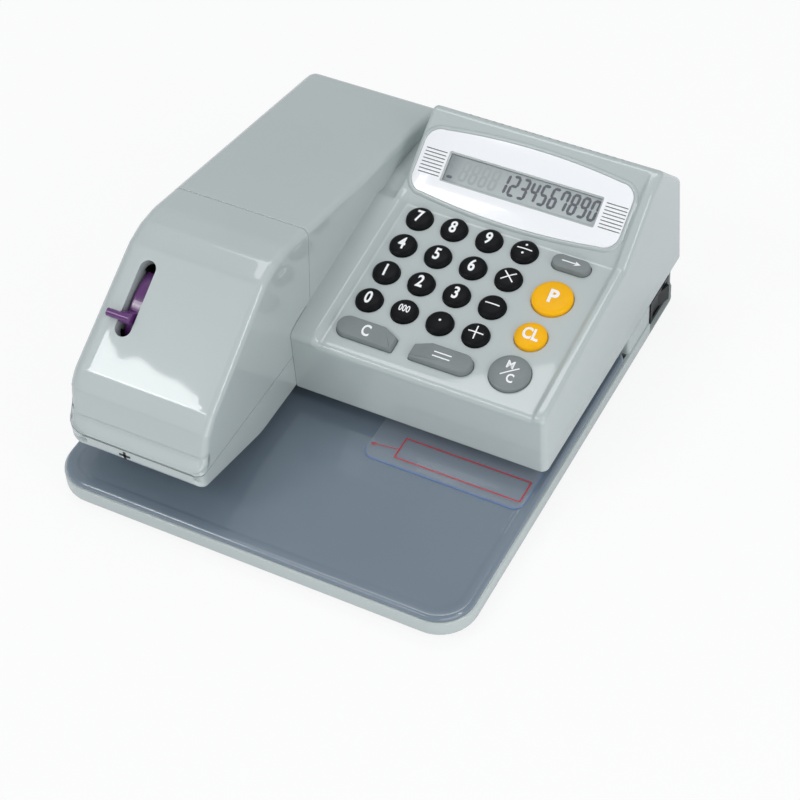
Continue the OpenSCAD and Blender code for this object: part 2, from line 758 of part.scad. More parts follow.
// A key with another outline: cap, collar and stem
module flat_key(x, s, c) {
    low = -wall - gap - flange_t;
    color(c) on_panel(x, s) {
        translate([0, 0, low]) linear_extrude(height = flange_t) children(1);
        translate([0, 0, low]) linear_extrude(height = key_rise - low)
            children(0);
        translate([0, 0, stem_z])
            cylinder(h = low - stem_z + eps, r = stem_r);
    }
}
module key_7() { grid_key(0, 3); }
module key_8() { grid_key(1, 3); }
module key_9() { grid_key(2, 3); }
module key_divide() { grid_key(3, 3); }
module key_4() { grid_key(0, 2); }
module key_5() { grid_key(1, 2); }
module key_6() { grid_key(2, 2); }
module key_times() { grid_key(3, 2); }
module key_1() { grid_key(0, 1); }
module key_2() { grid_key(1, 1); }
module key_3() { grid_key(2, 1); }
module key_minus() { grid_key(3, 1); }
module key_0() { grid_key(0, 0); }
module key_000() { grid_key(1, 0); }
module key_point() { grid_key(2, 0); }
module key_plus() { grid_key(3, 0); }
module key_print() { round_key(side_x, print_s, print_key_r, orange_c); }
module key_clear() { round_key(side_x, clear_s, clear_key_r, orange_c); }
module key_memory() { round_key(side_x, memory_s, memory_key_r, grey_c); }
module key_arrow() {
    flat_key(side_x, arrow_s, grey_c) {
        arrow_outline(0);
        arrow_outline(key_lip);
    }
}
module key_c() {
    flat_key(wide_c_x + wide_key_l / 2, wide_s, grey_c) {
        wide_outline(0, false);
        wide_outline(key_lip, false);
    }
}
module key_equals() {
    flat_key(wide_e_x + wide_key_l / 2, wide_s, grey_c) {
        wide_outline(0, true);
        wide_outline(key_lip, true);
    }
}

// Cover over the print mechanism, with the lever's slot
head_r = 5;
head_rl = 18;
module head_plan(t) {
    plan(head_x0 + t, head_x1 - t, head_y + t, seam_top_y + 10, head_r - t,
        1, head_rl - t);
}
module head_cover() {
    color(body_c) difference() {
        intersection() {
            side_form(head_x0, head_x1, head_side(0));
            lean_form(head_x0, head_x1, 0.25);
            linear_extrude(height = case_d) head_plan(0);
        }
        intersection() {
            side_form(head_x0, head_x1, head_side(wall));
            lean_form(head_x0, head_x1, wall);
            linear_extrude(height = case_d) head_plan(wall);
        }
        on_face(slot_x, 0) translate([0, 0, -wall - 2])
            linear_extrude(height = wall + 4) {
                for (s = [-1, 1])
                    translate([0, s * (slot_l - slot_w) / 2])
                        circle(slot_w / 2);
                translate([-slot_w / 2, -(slot_l - slot_w) / 2])
                    square([slot_w, slot_l - slot_w]);
            }
    }
}

// Tub under the cover; its underside rises towards the front
function tub_side(t) = [
    [head_y + t, z_case + lift_h + t],
    [kink_y, z_case + t],
    [t > 0 ? seam_y + 1 : seam_y, z_case + t],
    [t > 0 ? seam_y + 1 : seam_y, t > 0 ? seam_h + 1 : seam_h],
    [head_y + t, t > 0 ? seam_h + 1 : seam_h]];
module head_base() {
    color(body_c) difference() {
        intersection() {
            side_form(head_x0, head_x1, tub_side(0));
            lean_form(head_x0, head_x1, 0);
            linear_extrude(height = case_d) head_plan(0);
        }
        intersection() {
            side_form(head_x0, head_x1, tub_side(wall));
            lean_form(head_x0, head_x1, wall);
            linear_extrude(height = case_d) head_plan(wall);
        }
        translate([wheel_x - wheel_w / 2 - 2, wheel_y - wheel_r, z_case - 1])
            cube([wheel_w + 4, 2 * wheel_r, wall + 2]);
    }
}

// Clear plate on the deck that shows where the amount is printed
guide_out = 21.8;
module guide_plate() {
    color([0.75, 0.85, 0.95, 0.5]) translate([0, 0, z_deck])
        linear_extrude(height = guide_t)
            plan(kb_x1 - 5 - guide_w, kb_x1 - 5, kb_y - guide_out,
                kb_y - guide_out + guide_d, 6, 3);
}

// Steel sheet that closes the case's underside over the paper slot
module throat_roof() {
    color(metal_c) difference() {
        translate([0, 0, z_case]) linear_extrude(height = wall) {
            translate([head_x0 + wall + gap, seam_y + gap])
                square([head_w - 2 * (wall + gap),
                    throat_y + wall - seam_y - gap]);
            translate([head_x1 - wall - gap - eps, seam_y + wall + gap])
                square([2 * wall + 3 * gap + 2 * eps,
                    throat_y - seam_y - gap]);
            translate([head_x1 + wall + 2 * gap, kb_y + wall + gap])
                square([kb_x1 - head_x1 - 2 * wall - 3 * gap,
                    throat_y - kb_y - gap]);
        }
        translate([wheel_x - 8.5, feed_y0 - 5, z_case - 1])
            cube([17, roller_l + 10, wall + 2]);
    }
}

// Mains transformer on the lower housing's floor
module transformer() {
    x0 = 6;
    y0 = throat_y + 10;
    l = 0.56 * (y_low - throat_y);
    color([0.3, 0.3, 0.32]) {
        translate([x0, y0, z_floor]) cube([46, l, 2]);
        translate([x0 + 5, y0 + 2, z_floor + 2 - eps])
            cube([36, 0.42 * l, 38]);
    }
    color([0.75, 0.55, 0.2]) translate([x0 + 8, y0 - 1, z_floor + 7])
        cube([30, 0.68 * l, 28]);
}

// Mains inlet in the rear wall: a hollow block with two pins
module mains_inlet() {
    color([0.1, 0.1, 0.1]) difference() {
        union() {
            translate([inlet_x - inlet_w / 2 + 0.2, y_low - 15,
                inlet_z - inlet_h / 2 + 0.2])
                cube([inlet_w - 0.4, 15 + eps, inlet_h - 0.4]);
            translate([inlet_x - inlet_w / 2 - 2, y_low,
                inlet_z - inlet_h / 2 - 1.5])
                cube([inlet_w + 4, 1.5, inlet_h + 3]);
        }
        translate([inlet_x - 9, y_low - 11, inlet_z - 4.5])
            cube([18, 15, 9]);
    }
    color(metal_c) for (s = [-1, 1])
        bar_y(y_low - 11 - eps, y_low - 3, inlet_x + s * 4.3, inlet_z, 1.2);
}

// Body of the power switch, pushed into the right wall
sw_x1 = x_r - switch_setback;
sw_in_w = switch_w - 3;
sw_in_h = switch_h - 3;
module power_switch() {
    color([0.08, 0.08, 0.09]) difference() {
        union() {
            translate([sw_x1 - switch_d, switch_y - switch_w / 2 + 0.2,
                switch_z - switch_h / 2 + 0.2])
                cube([switch_d + eps, switch_w - 0.4, switch_h - 0.4]);
            translate([sw_x1, switch_y - switch_w / 2 - 1,
                switch_z - switch_h / 2 - 1])
                cube([1, switch_w + 2, switch_h + 2]);
        }
        translate([sw_x1 - switch_d + 2.4, switch_y - sw_in_w / 2,
            switch_z - sw_in_h / 2]) cube([20, sw_in_w, sw_in_h]);
    }
    color([0.08, 0.08, 0.09]) translate([rocker_x, switch_y,
        switch_z - sw_in_h / 2 - eps])
        cylinder(h = sw_in_h + 2 * eps, r = rocker_pin);
}
rocker_pin = 1.2;

// Rocker of the power switch, tipped with its rear half out
module power_rocker() {
    l = sw_in_w / 2 - 1;
    h = sw_in_h - 2 * gap;
    color([0.1, 0.1, 0.11]) translate([rocker_x, switch_y, switch_z - h / 2])
        rotate([0, 0, -rocker_tilt]) difference() {
            linear_extrude(height = h) {
                polygon([[-3.2, -4], [1.5, -l], [5, -l], [3.6, 0], [5, l],
                    [1.5, l], [-3.2, 4]]);
            }
            translate([0, 0, -1])
                cylinder(h = h + 2, r = rocker_pin + run_gap);
        }
}

// Gear outline with teeth narrow enough to run freely
module gear_outline(n, m, phase) {
    p = 360 / n;
    polygon([for (i = [0:n - 1], k = [0:5])
        let (w = [-0.33, -0.22, -0.1, 0.1, 0.22, 0.33][k],
            r = m * (n / 2 + [-1.25, -0.1, 0.95, 0.95, -0.1, -1.25][k]),
            a = phase + (i + w) * p)
        [r * cos(a), r * sin(a)]]);
}

// Plates and floor that carry the print mechanism
module frame_plate(x, points) {
    side_form(x, x + plate_t, points);
}
module print_frame() {
    z1 = lever_z + 7;
    front = motor_y - motor_r - 2;
    side = [[front, frame_z], [front, motor_z + motor_r + 2],
        [lever_y - 8, z1], [lever_y + 8, z1],
        [ink_y + 8, ink_z + 6], [ink_y + 8, frame_z]];
    ear = [[pivot_y - 7, frame_z], [pivot_y - 7, pivot_z + 6],
        [pivot_y + 7, pivot_z + 6], [pivot_y + 7, frame_z]];
    color(metal_c) difference() {
        union() {
            translate([slot_x - 14, front, frame_z])
                cube([plate_r + plate_t - slot_x + 14,
                    pivot_y + 7 - front, plate_t]);
            frame_plate(plate_l, side);
            frame_plate(plate_m, side);
            frame_plate(plate_r, [[front, frame_z],
                [front, motor_z + motor_r + 2],
                [wheel_y + 8, motor_z + motor_r + 2],
                [wheel_y + 8, frame_z]]);
            frame_plate(slot_x - 14, [[lever_y - 10, frame_z],
                [lever_y - 8, z1], [lever_y + 8, z1],
                [lever_y + 10, frame_z]]);
            frame_plate(plate_l, ear);
            frame_plate(plate_m, ear);
        }
        translate([wheel_x - wheel_w / 2 - 2, wheel_y - wheel_r - 1,
            frame_z - 1]) cube([wheel_w + 4, 2 * wheel_r + 2, plate_t + 2]);
        translate([gear_x - 1, wheel_y - 7, frame_z - 1])
            cube([gear_w + 2, 14, plate_t + 2]);
        translate([wheel_x - 8.5, feed_y0 - 5, frame_z - 1])
            cube([17, roller_l + 10, plate_t + 2]);
        bar_x(plate_l - 1, plate_r + 4, wheel_y, wheel_z, shaft_r + run_gap);
        bar_x(plate_l - 1, plate_m + 4, ink_y, ink_z, shaft_r + run_gap);
        bar_x(slot_x - 16, plate_m - 6, lever_y, lever_z, lever_shaft_r);
        bar_x(plate_l - 1, plate_m + 4, pivot_y, pivot_z,
            shaft_r + run_gap);
        bar_x(plate_r - 1, plate_r + 4, motor_y, motor_z, 4);
    }
}

// Wheel with a raised character block at each place round its rim
module type_wheel() {
    a = 360 / wheel_n;
    color([0.35, 0.36, 0.38]) translate([wheel_x - wheel_w / 2, wheel_y,
        wheel_z]) rotate([0, 90, 0]) difference() {
            union() {
                cylinder(h = wheel_w, r = wheel_r - 1.2);
                for (i = [0:wheel_n - 1]) rotate([0, 0, i * a])
                    translate([wheel_r - 3, -1.9, 2])
                        cube([2.8, 3.8, wheel_w - 4]);
            }
            translate([0, 0, -1]) cylinder(h = wheel_w + 2, r = shaft_r);
        }
}
// Shaft of the type wheel, with its gear at the right
module type_shaft() {
    color(metal_c) {
        bar_x(plate_l - 1.5, plate_r + plate_t + 1.5, wheel_y, wheel_z,
            shaft_r);
        bar_x(plate_l + plate_t + gap, wheel_x - wheel_w / 2, wheel_y,
            wheel_z, shaft_r + 1.5);
    }
}
module type_gear() {
    color([0.92, 0.9, 0.84]) translate([gear_x, wheel_y, wheel_z])
        rotate([90, 0, 90]) linear_extrude(height = gear_w) difference() {
            gear_outline(small_n, gear_m, drive_a);
            circle(shaft_r);
        }
}
// Motor that turns the type wheel
module type_motor() {
    x0 = plate_r + plate_t;
    color([0.62, 0.63, 0.65]) difference() {
        union() {
            bar_x(x0, head_x1 - wall - 4, motor_y, motor_z, motor_r);
            bar_x(plate_r + eps, x0 + 1, motor_y, motor_z, 4 - gap);
        }
        bar_x(plate_r - 1, x0 + 12, motor_y, motor_z, 1 + run_gap);
    }
}
module type_motor_gear() {
    color([0.92, 0.9, 0.84]) translate([gear_x, motor_y, motor_z])
        rotate([90, 0, 90]) linear_extrude(height = gear_w)
            gear_outline(large_n, gear_m, drive_a + 180 + 180 / large_n);
    color(metal_c) bar_x(gear_x + gear_w - eps, plate_r + plate_t + 10,
        motor_y, motor_z, 1);
}
// Felt roller that inks the type, on its own shaft
module ink_roller() {
    color([0.2, 0.1, 0.3]) difference() {
        bar_x(wheel_x - wheel_w / 2, wheel_x + wheel_w / 2, ink_y, ink_z,
            ink_r);
        bar_x(wheel_x - wheel_w, wheel_x + wheel_w, ink_y, ink_z, shaft_r);
    }
}
module ink_shaft() {
    color(metal_c) bar_x(plate_l - 1.5, plate_m + plate_t + 1.5, ink_y,
        ink_z, shaft_r);
}

// Lever with a curved shutter behind the slot and a cross bar for a finger
module lever_at(a, r) {
    // a is the angle from the face's normal, towards the rear
    translate([0, lever_y, lever_z]) rotate([face_tilt - a, 0, 0])
        translate([0, 0, r]) children();
}
shutter_a = 50;
module paper_lever() {
    rest = -lever_swing;
    x0 = slot_x - lever_w / 2;
    color([0.36, 0.12, 0.42]) {
        difference() {
            union() {
                intersection() {
                    difference() {
                        bar_x(x0, x0 + lever_w, lever_y, lever_z, shutter_r);
                        bar_x(x0 - 1, x0 + lever_w + 1, lever_y, lever_z,
                            shutter_r - 3);
                    }
                    side_form(x0, x0 + lever_w, concat([[lever_y, lever_z]],
                        [for (a = [-shutter_a, 0, shutter_a])
                            [lever_y + 60 * sin(rest + a - face_tilt),
                                lever_z + 60 * cos(rest + a - face_tilt)]]));
                }
                lever_at(rest, lever_shaft_r) translate([x0, -3, 0])
                    cube([lever_w, 6, thumb_r - lever_shaft_r]);
                bar_x(x0, tail_x0 - gap, lever_y, lever_z,
                    lever_shaft_r + 2);
            }
            bar_x(x0 - 1, tail_x0 + 10, lever_y, lever_z,
                lever_shaft_r + run_gap);
        }
        lever_at(rest, thumb_r) bar_x(slot_x - 11, slot_x + lever_w / 2, 0,
            0, 2.3);
        finger_part(x0, 8.7);
    }
}
// Finger beside the shutter that lifts the pinch arm's tail
module finger_part(x0, r) {
    a = 168;
    fy = lever_y + r * cos(a);
    fz = lever_z + r * sin(a);
    bar_x(x0 + lever_w - 1, tail_x0 + tail_w, fy, fz, 1.4);
    difference() {
        side_form(x0 + lever_w - 3, x0 + lever_w, [[lever_y, lever_z + 4.5],
            [fy - 1, fz + 1.5], [fy - 1, fz - 1.5], [lever_y, lever_z - 4.5]]);
        bar_x(x0, x0 + lever_w + 1, lever_y, lever_z, lever_shaft_r + 1);
    }
}
module lever_shaft() {
    color(metal_c) bar_x(slot_x - 14, plate_l + plate_t, lever_y, lever_z,
        lever_shaft_r);
}

// Arm that holds the pinch roller, its pivot and its lifting tail
module pinch_arm() {
    x0 = wheel_x - 7;
    y0 = feed_y0 - 3.5;
    y1 = feed_y0 + roller_l + 2;
    z0 = frame_z + plate_t + 0.6;
    color([0.7, 0.71, 0.73]) {
        difference() {
            union() {
                translate([x0, y0, z0]) cube([14, pivot_y - y0, 2]);
                for (y = [y0, y1]) translate([wheel_x - 3.5, y,
                    pinch_z - 3.5])
                    cube([7, 1.5, z0 - pinch_z + 4]);
                bar_x(x0, x0 + 14, pivot_y, pivot_z, shaft_r + 2);
            }
            bar_x(x0 - 1, x0 + 15, pivot_y, pivot_z, shaft_r);
            bar_y(y0 - 1, y1 + 3, wheel_x, pinch_z, 1 + run_gap);
        }
        difference() {
            side_form(tail_x0, tail_x0 + tail_w, [[pivot_y + 4, pivot_z - 3],
                [pivot_y + 4, pivot_z + 3], [feed_y0 - 12, tail_z + 4],
                [lever_y - 11, tail_z + 4], [lever_y - 11, tail_z],
                [feed_y0 - 14, tail_z], [pivot_y - 4, pivot_z - 3]]);
            bar_x(tail_x0 - 1, tail_x0 + 5, pivot_y, pivot_z, shaft_r);
        }
    }
}
module pinch_pivot() {
    color(metal_c) bar_x(tail_x0 - 0.5, plate_m + plate_t + 1, pivot_y,
        pivot_z, shaft_r);
}
module pinch_roller() {
    color([0.15, 0.15, 0.16]) {
        bar_y(feed_y0, feed_y0 + roller_l, wheel_x, pinch_z, pinch_r);
        bar_y(feed_y0 - 4, feed_y0 + roller_l + 4, wheel_x, pinch_z, 1);
    }
}

// Driven roller under the deck, with its long shaft
module feed_roller() {
    color([0.15, 0.15, 0.16])
        bar_y(feed_y0, feed_y0 + roller_l, wheel_x, feed_z, feed_r);
    color(metal_c) bar_y(feed_bearings[0] - 3, feed_end_y, wheel_x, feed_z,
        feed_shaft_r);
}
module feed_gear() {
    color([0.92, 0.9, 0.84]) translate([wheel_x, feed_end_y - 1, feed_z])
        rotate([90, 0, 0]) linear_extrude(height = gear_w) difference() {
            gear_outline(small_n, gear_m, 90);
            circle(feed_shaft_r);
        }
}
feed_motor_z = feed_z + gear_d;
feed_motor_l = (y_low - feed_end_y) / 2;
module feed_motor() {
    y0 = feed_end_y + 1.5;
    color([0.62, 0.63, 0.65]) difference() {
        union() {
            bar_y(y0, y0 + feed_motor_l, wheel_x, feed_motor_z, motor_r);
            translate([wheel_x - motor_r, y0, z_floor])
                cube([2 * motor_r, feed_motor_l,
                    feed_motor_z - z_floor - motor_r / 2]);
        }
        bar_y(y0 - 1, y0 + 11, wheel_x, feed_motor_z, 1 + run_gap);
    }
}
module feed_motor_gear() {
    color([0.92, 0.9, 0.84]) translate([wheel_x, feed_end_y - 1,
        feed_motor_z]) rotate([90, 0, 0]) linear_extrude(height = gear_w)
            gear_outline(large_n, gear_m, 270 + 180 / large_n);
    color(metal_c) bar_y(feed_end_y - 1 - eps, feed_end_y + 11, wheel_x,
        feed_motor_z, 1);
}

// Anvil that presses the check up against the type, and its coil
module anvil() {
    color(metal_c) {
        translate([wheel_x - anvil_w / 2, wheel_y - anvil_d / 2,
            z_deck - 2]) cube([anvil_w, anvil_d, 2]);
        translate([wheel_x, wheel_y, z_floor + 0.5])
            cylinder(h = z_deck - 1 - z_floor - 0.5, r = 2.4);
    }
}
module anvil_coil() {
    color([0.7, 0.4, 0.2]) translate([wheel_x, wheel_y, z_floor])
        difference() {
            cylinder(h = 4.6, r = 10);
            translate([0, 0, -1]) cylinder(h = 8, r = 2.4 + run_gap);
        }
}

base_tray();
deck_plate();
rubber_feet();
case_screws();
upper_case();
head_cover();
head_base();
display_bezel();
display_window();
lcd_module();
main_board();
board_screws();
key_pad();
guide_plate();
throat_roof();
transformer();
mains_inlet();
power_switch();
power_rocker();
print_frame();
type_wheel();
type_shaft();
type_gear();
type_motor();
type_motor_gear();
ink_roller();
ink_shaft();
paper_lever();
lever_shaft();
pinch_arm();
pinch_pivot();
pinch_roller();
feed_roller();
feed_gear();
feed_motor();
feed_motor_gear();
anvil();
anvil_coil();
key_7();
key_8();
key_9();
key_divide();
key_4();
key_5();
key_6();
key_times();
key_1();
key_2();
key_3();
key_minus();
key_0();
key_000();
key_point();
key_plus();
key_arrow();
key_print();
key_clear();
key_memory();
key_c();
key_equals();
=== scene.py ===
import math
import bmesh
import bpy
import numpy as np
from mathutils import Matrix, Vector


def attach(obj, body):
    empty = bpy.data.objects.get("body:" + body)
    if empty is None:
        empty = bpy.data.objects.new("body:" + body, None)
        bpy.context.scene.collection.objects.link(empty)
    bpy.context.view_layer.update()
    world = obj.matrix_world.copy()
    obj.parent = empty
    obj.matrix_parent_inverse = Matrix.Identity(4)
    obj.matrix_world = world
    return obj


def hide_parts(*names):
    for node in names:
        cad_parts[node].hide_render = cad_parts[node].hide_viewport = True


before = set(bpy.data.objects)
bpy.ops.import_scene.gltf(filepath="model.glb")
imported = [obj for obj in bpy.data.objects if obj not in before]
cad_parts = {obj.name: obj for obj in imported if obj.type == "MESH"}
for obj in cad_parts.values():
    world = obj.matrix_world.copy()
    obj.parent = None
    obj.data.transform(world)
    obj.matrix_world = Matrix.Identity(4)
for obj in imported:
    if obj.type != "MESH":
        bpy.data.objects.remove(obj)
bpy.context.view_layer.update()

# Camera. It stands 1.2 m from the machine, high over its right front corner,
# with a long lens, and leans a little to one side.
CAMERA_DISTANCE, LENS, FILM_WIDTH = 1.197189, 101.38, 36
cam_turn, cam_rise, cam_roll = np.radians([30.441, 47.164, -4.046])
cam_aim = np.array([0.051995, -0.064699, 0.075225])
cam_back = np.array([
    math.sin(cam_turn) * math.cos(cam_rise),
    -math.cos(cam_turn) * math.cos(cam_rise),
    math.sin(cam_rise),
])
level = np.cross(-cam_back, [0, 0, 1])
level /= np.linalg.norm(level)
upright = np.cross(level, -cam_back)
cam_right = level * math.cos(cam_roll) + upright * math.sin(cam_roll)
cam_up = upright * math.cos(cam_roll) - level * math.sin(cam_roll)
camera = bpy.data.objects.new("camera", bpy.data.cameras.new("camera"))
camera.data.lens, camera.data.sensor_width = LENS, FILM_WIDTH
cam_axes = Matrix(np.stack([cam_right, cam_up, cam_back], 1).tolist()).to_4x4()
camera.matrix_world = Matrix.Translation(cam_aim + cam_back * CAMERA_DISTANCE) @ cam_axes
bpy.context.scene.collection.objects.link(camera)
bpy.context.scene.camera = camera
bpy.context.scene.view_settings.view_transform = "Standard"


# Studio. A white floor under the machine and an even pale surround, with a
# soft box overhead, a fill box low on the right, and a strip on either side.
class Value:
    """A number at each point of a surface; an operator on it adds one Math node."""

    def __init__(self, finish, socket):
        self.finish = finish
        self.socket = socket

    def _math(self, operation, first, second):
        return self.finish.node("ShaderNodeMath", {"operation": operation}, {0: first, 1: second})

    def __add__(self, other):
        return self._math("ADD", self, other)

    def __sub__(self, other):
        return self._math("SUBTRACT", self, other)

    def __rsub__(self, other):
        return self._math("SUBTRACT", other, self)

    def __mul__(self, other):
        return self._math("MULTIPLY", self, other)

    __radd__, __rmul__ = __add__, __mul__

    def step(self, low, high):
        """0 below low, 1 above high, and a straight ramp between them."""
        ends = {"Value": self, "From Min": low, "From Max": high}
        return self.finish.node("ShaderNodeMapRange", {"clamp": True}, ends)


class Finish:
    """A material: its base shader's plain values, and the nodes that vary them."""

    def __init__(self, name, colour, **plain):
        self.material = bpy.data.materials.new(name)
        self.material.use_nodes = True
        self.tree = self.material.node_tree
        self.base = self.tree.nodes["Principled BSDF"]
        self.colour = linear(colour)
        self.set(Base_Color=self.colour, **plain)

    def set(self, **values):
        """Gives the base shader's sockets numbers, colours or Values, by their names with _ for a space."""
        for key, value in values.items():
            self.give(self.base.inputs[key.replace("_", " ")], value)

    def give(self, socket, value):
        """Wires a Value to a socket, or sets a plain number or colour."""
        if isinstance(value, Value):
            self.tree.links.new(value.socket, socket)
        else:
            socket.default_value = value

    def node(self, kind, settings=None, values=None, out=0):
        """A node with its settings and what its sockets are given, as the Value of one output."""
        made = self.tree.nodes.new(kind)
        for key, value in (settings or {}).items():
            setattr(made, key, value)
        for key, value in (values or {}).items():
            self.give(made.inputs[key], value)
        return Value(self, made.outputs[out])

    def place(self):
        """Where a point lies on its piece."""
        return self.node("ShaderNodeTexCoord", out=3)

    def noise(self, scale, detail=2.0):
        """Cloudy noise from 0 to 1, with scale clouds to the metre."""
        given = {"Vector": self.place(), "Scale": scale, "Detail": detail}
        return self.node("ShaderNodeTexNoise", values=given)

    def mix(self, factor, first, second):
        """A colour between two, by a factor of 0 to 1."""
        given = {0: factor, 6: first, 7: second}
        return self.node("ShaderNodeMix", {"data_type": "RGBA"}, given, out=2)

    def vary(self, share, down, up):
        """The finish's own colour, from darker by down to lighter by up as share goes from 0 to 1."""
        return self.mix(share, scaled(self.colour, down), scaled(self.colour, up))

    def roughen(self, scale, spread, least):
        """Roughness of least and up to spread more, in patches."""
        self.set(Roughness=self.noise(scale) * spread + least)

    def bump(self, height, depth, strength=1.0):
        """Surface normals as if height stood out by depth metres."""
        given = {"Height": height, "Distance": depth, "Strength": strength}
        return self.node("ShaderNodeBump", values=given)


def linear(colour):
    """A colour of 0 to 255 per channel as the shader wants it, with the display's curve undone."""
    c = np.asarray(colour, float) / 255
    return (*np.where(c <= 0.04045, c / 12.92, ((c + 0.055) / 1.055) ** 2.4).tolist(), 1.0)


def scaled(colour, by):
    """A colour with its three channels multiplied by one number."""
    return (*[v * by for v in colour[:3]], 1.0)


def stage_white(name, own, glow_share):
    """White to the camera by glow_share, and for the rest a surface that takes shadows."""
    finish = Finish(name, own, Roughness=0.9)
    path = finish.tree.nodes.new("ShaderNodeLightPath")
    glow = finish.tree.nodes.new("ShaderNodeEmission")
    mix = finish.tree.nodes.new("ShaderNodeMixShader")
    seen = Value(finish, path.outputs["Is Camera Ray"]) * glow_share
    finish.give(mix.inputs[0], seen)
    link = finish.tree.links.new
    link(finish.base.outputs[0], mix.inputs[1])
    link(glow.outputs[0], mix.inputs[2])
    link(mix.outputs[0], finish.tree.nodes["Material Output"].inputs[0])
    return finish


def grid(points, close_rows=False, close_columns=False, ends=False):
    """A part of a mesh: four-sided faces over a grid of points. ends closes the first and last row."""
    rows, columns = points.shape[:2]
    index = np.arange(rows * columns).reshape(rows, columns)
    wide = np.hstack([index, index[:, :1]]) if close_columns else index
    tall = np.vstack([wide, wide[:1]]) if close_rows else wide
    square = [tall[:-1, :-1], tall[:-1, 1:], tall[1:, 1:], tall[1:, :-1]]
    faces = np.stack(square, -1).reshape(-1, 4).tolist()
    if ends:
        faces += [index[0].tolist(), index[-1, ::-1].tolist()]
    return points.reshape(-1, 3), faces


def mesh_of(name, parts, sharp=40.0, tidy=True):
    """One mesh of several parts in millimetres: doubles merged, faces turned outwards, sharp edges crisp."""
    starts = np.cumsum([0] + [len(p) for p, _ in parts])
    mesh = bpy.data.meshes.new(name)
    faces = [[i + int(s) for i in f] for s, (_, fs) in zip(starts, parts) for f in fs]
    mesh.from_pydata((np.vstack([p for p, _ in parts]) * 0.001).tolist(), [], faces)
    if tidy:
        work = bmesh.new()
        work.from_mesh(mesh)
        bmesh.ops.remove_doubles(work, verts=work.verts, dist=2e-6)
        bmesh.ops.dissolve_degenerate(work, edges=work.edges, dist=1e-6)
        bmesh.ops.recalc_face_normals(work, faces=work.faces)
        work.to_mesh(mesh)
        work.free()
    smooth(mesh, sharp)
    return mesh


def smooth(mesh, sharp=40.0):
    """Shades a mesh smooth, but for edges that turn by more than sharp degrees."""
    mesh.polygons.foreach_set("use_smooth", [True] * len(mesh.polygons))
    mesh.set_sharp_from_angle(angle=math.radians(sharp))
    mesh.update()


def piece(name, parts, finish, body=None, nodes=(), sharp=40.0, tidy=True):
    """A finished piece at the origin, with its material, riding on a body and standing for CAD nodes."""
    made = bpy.data.objects.new(name, mesh_of(name, parts, sharp, tidy))
    bpy.context.scene.collection.objects.link(made)
    made.data.materials.append(finish.material)
    if body:
        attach(made, body)
        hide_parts(*nodes)
    return made


floor_white = stage_white("studio_white", (244, 245, 246), 0.86)
FLOOR_REACH, FLOOR_Z = 3000.0, -0.4
floor_plan = [[[x, y, FLOOR_Z] for y in (-FLOOR_REACH, FLOOR_REACH)] for x in (-FLOOR_REACH, FLOOR_REACH)]
piece("studio_floor", [grid(np.array(floor_plan))], floor_white, tidy=False)

SKY_STRENGTH = 0.54
world = bpy.data.worlds.new("surround")
bpy.context.scene.world = world
world.use_nodes = True
world_tree = world.node_tree
plain_sky = world_tree.nodes["Background"]
plain_sky.inputs[0].default_value = (0.93, 0.965, 1.0, 1.0)
plain_sky.inputs[1].default_value = SKY_STRENGTH
white_sky = world_tree.nodes.new("ShaderNodeBackground")
white_sky.inputs[0].default_value = (1, 1, 1, 1)
sky_mix = world_tree.nodes.new("ShaderNodeMixShader")
sky_path = world_tree.nodes.new("ShaderNodeLightPath")
link = world_tree.links.new
link(sky_path.outputs["Is Camera Ray"], sky_mix.inputs[0])
link(plain_sky.outputs[0], sky_mix.inputs[1])
link(white_sky.outputs[0], sky_mix.inputs[2])
link(sky_mix.outputs[0], world_tree.nodes["World Output"].inputs[0])


def lamp(name, place, aim_height, width, height, radiance):
    """A soft box of one brightness: its power is brightness times pi times its area."""
    light = bpy.data.lights.new(name, "AREA")
    light.shape, light.size, light.size_y = "RECTANGLE", width, height
    light.energy = radiance * math.pi * width * height
    made = bpy.data.objects.new(name, light)
    aim = Vector((0, 0, aim_height))
    facing = (Vector(place) - aim).to_track_quat("Z", "Y").to_matrix().to_4x4()
    made.matrix_world = Matrix.Translation(place) @ facing
    bpy.context.scene.collection.objects.link(made)


lamp("soft_box_above", (-0.3, 0.5, 1.7), 0.05, 1.0, 0.5, 3.0)
lamp("fill_box", (1.15, -0.95, 0.36), 0.06, 1.2, 0.7, 1.9)
lamp("side_strip", (1.5, -0.32, 1.15), 0.06, 0.2, 1.1, 6.4)
lamp("front_strip", (-0.66, -1.27, 1.4), 0.06, 0.9, 0.2, 6.5)

# The window lamp has a wavy upper edge, where a cloth hangs over it: the head's
# face mirrors it as a white patch over its lower third.
HEM_POINTS, HEM_FOOT = 60, 0.28
card_corner = np.array([-0.9774, -0.8642, 1.5764])
card_side, card_down = np.array([0.881, -0.369, 0.294]), np.array([-0.167, -0.827, -0.537])
across = np.linspace(-0.12, 0.27, HEM_POINTS)
fold = 0.011 * np.exp(-(((across - 0.021) / 0.012) ** 2))
ripple = 0.0025 * np.sin(across * 105)
hem = -0.028 + fold + ripple
edges = (hem, np.full(HEM_POINTS, HEM_FOOT))
card = [card_corner + across[:, None] * card_side + v[:, None] * card_down for v in edges]
window_light = Finish("window_light", (0, 0, 0), Emission_Color=(1, 1, 1, 1), Emission_Strength=8.5)
piece("window_card", [grid(np.stack(card) * 1000)], window_light, tidy=False)


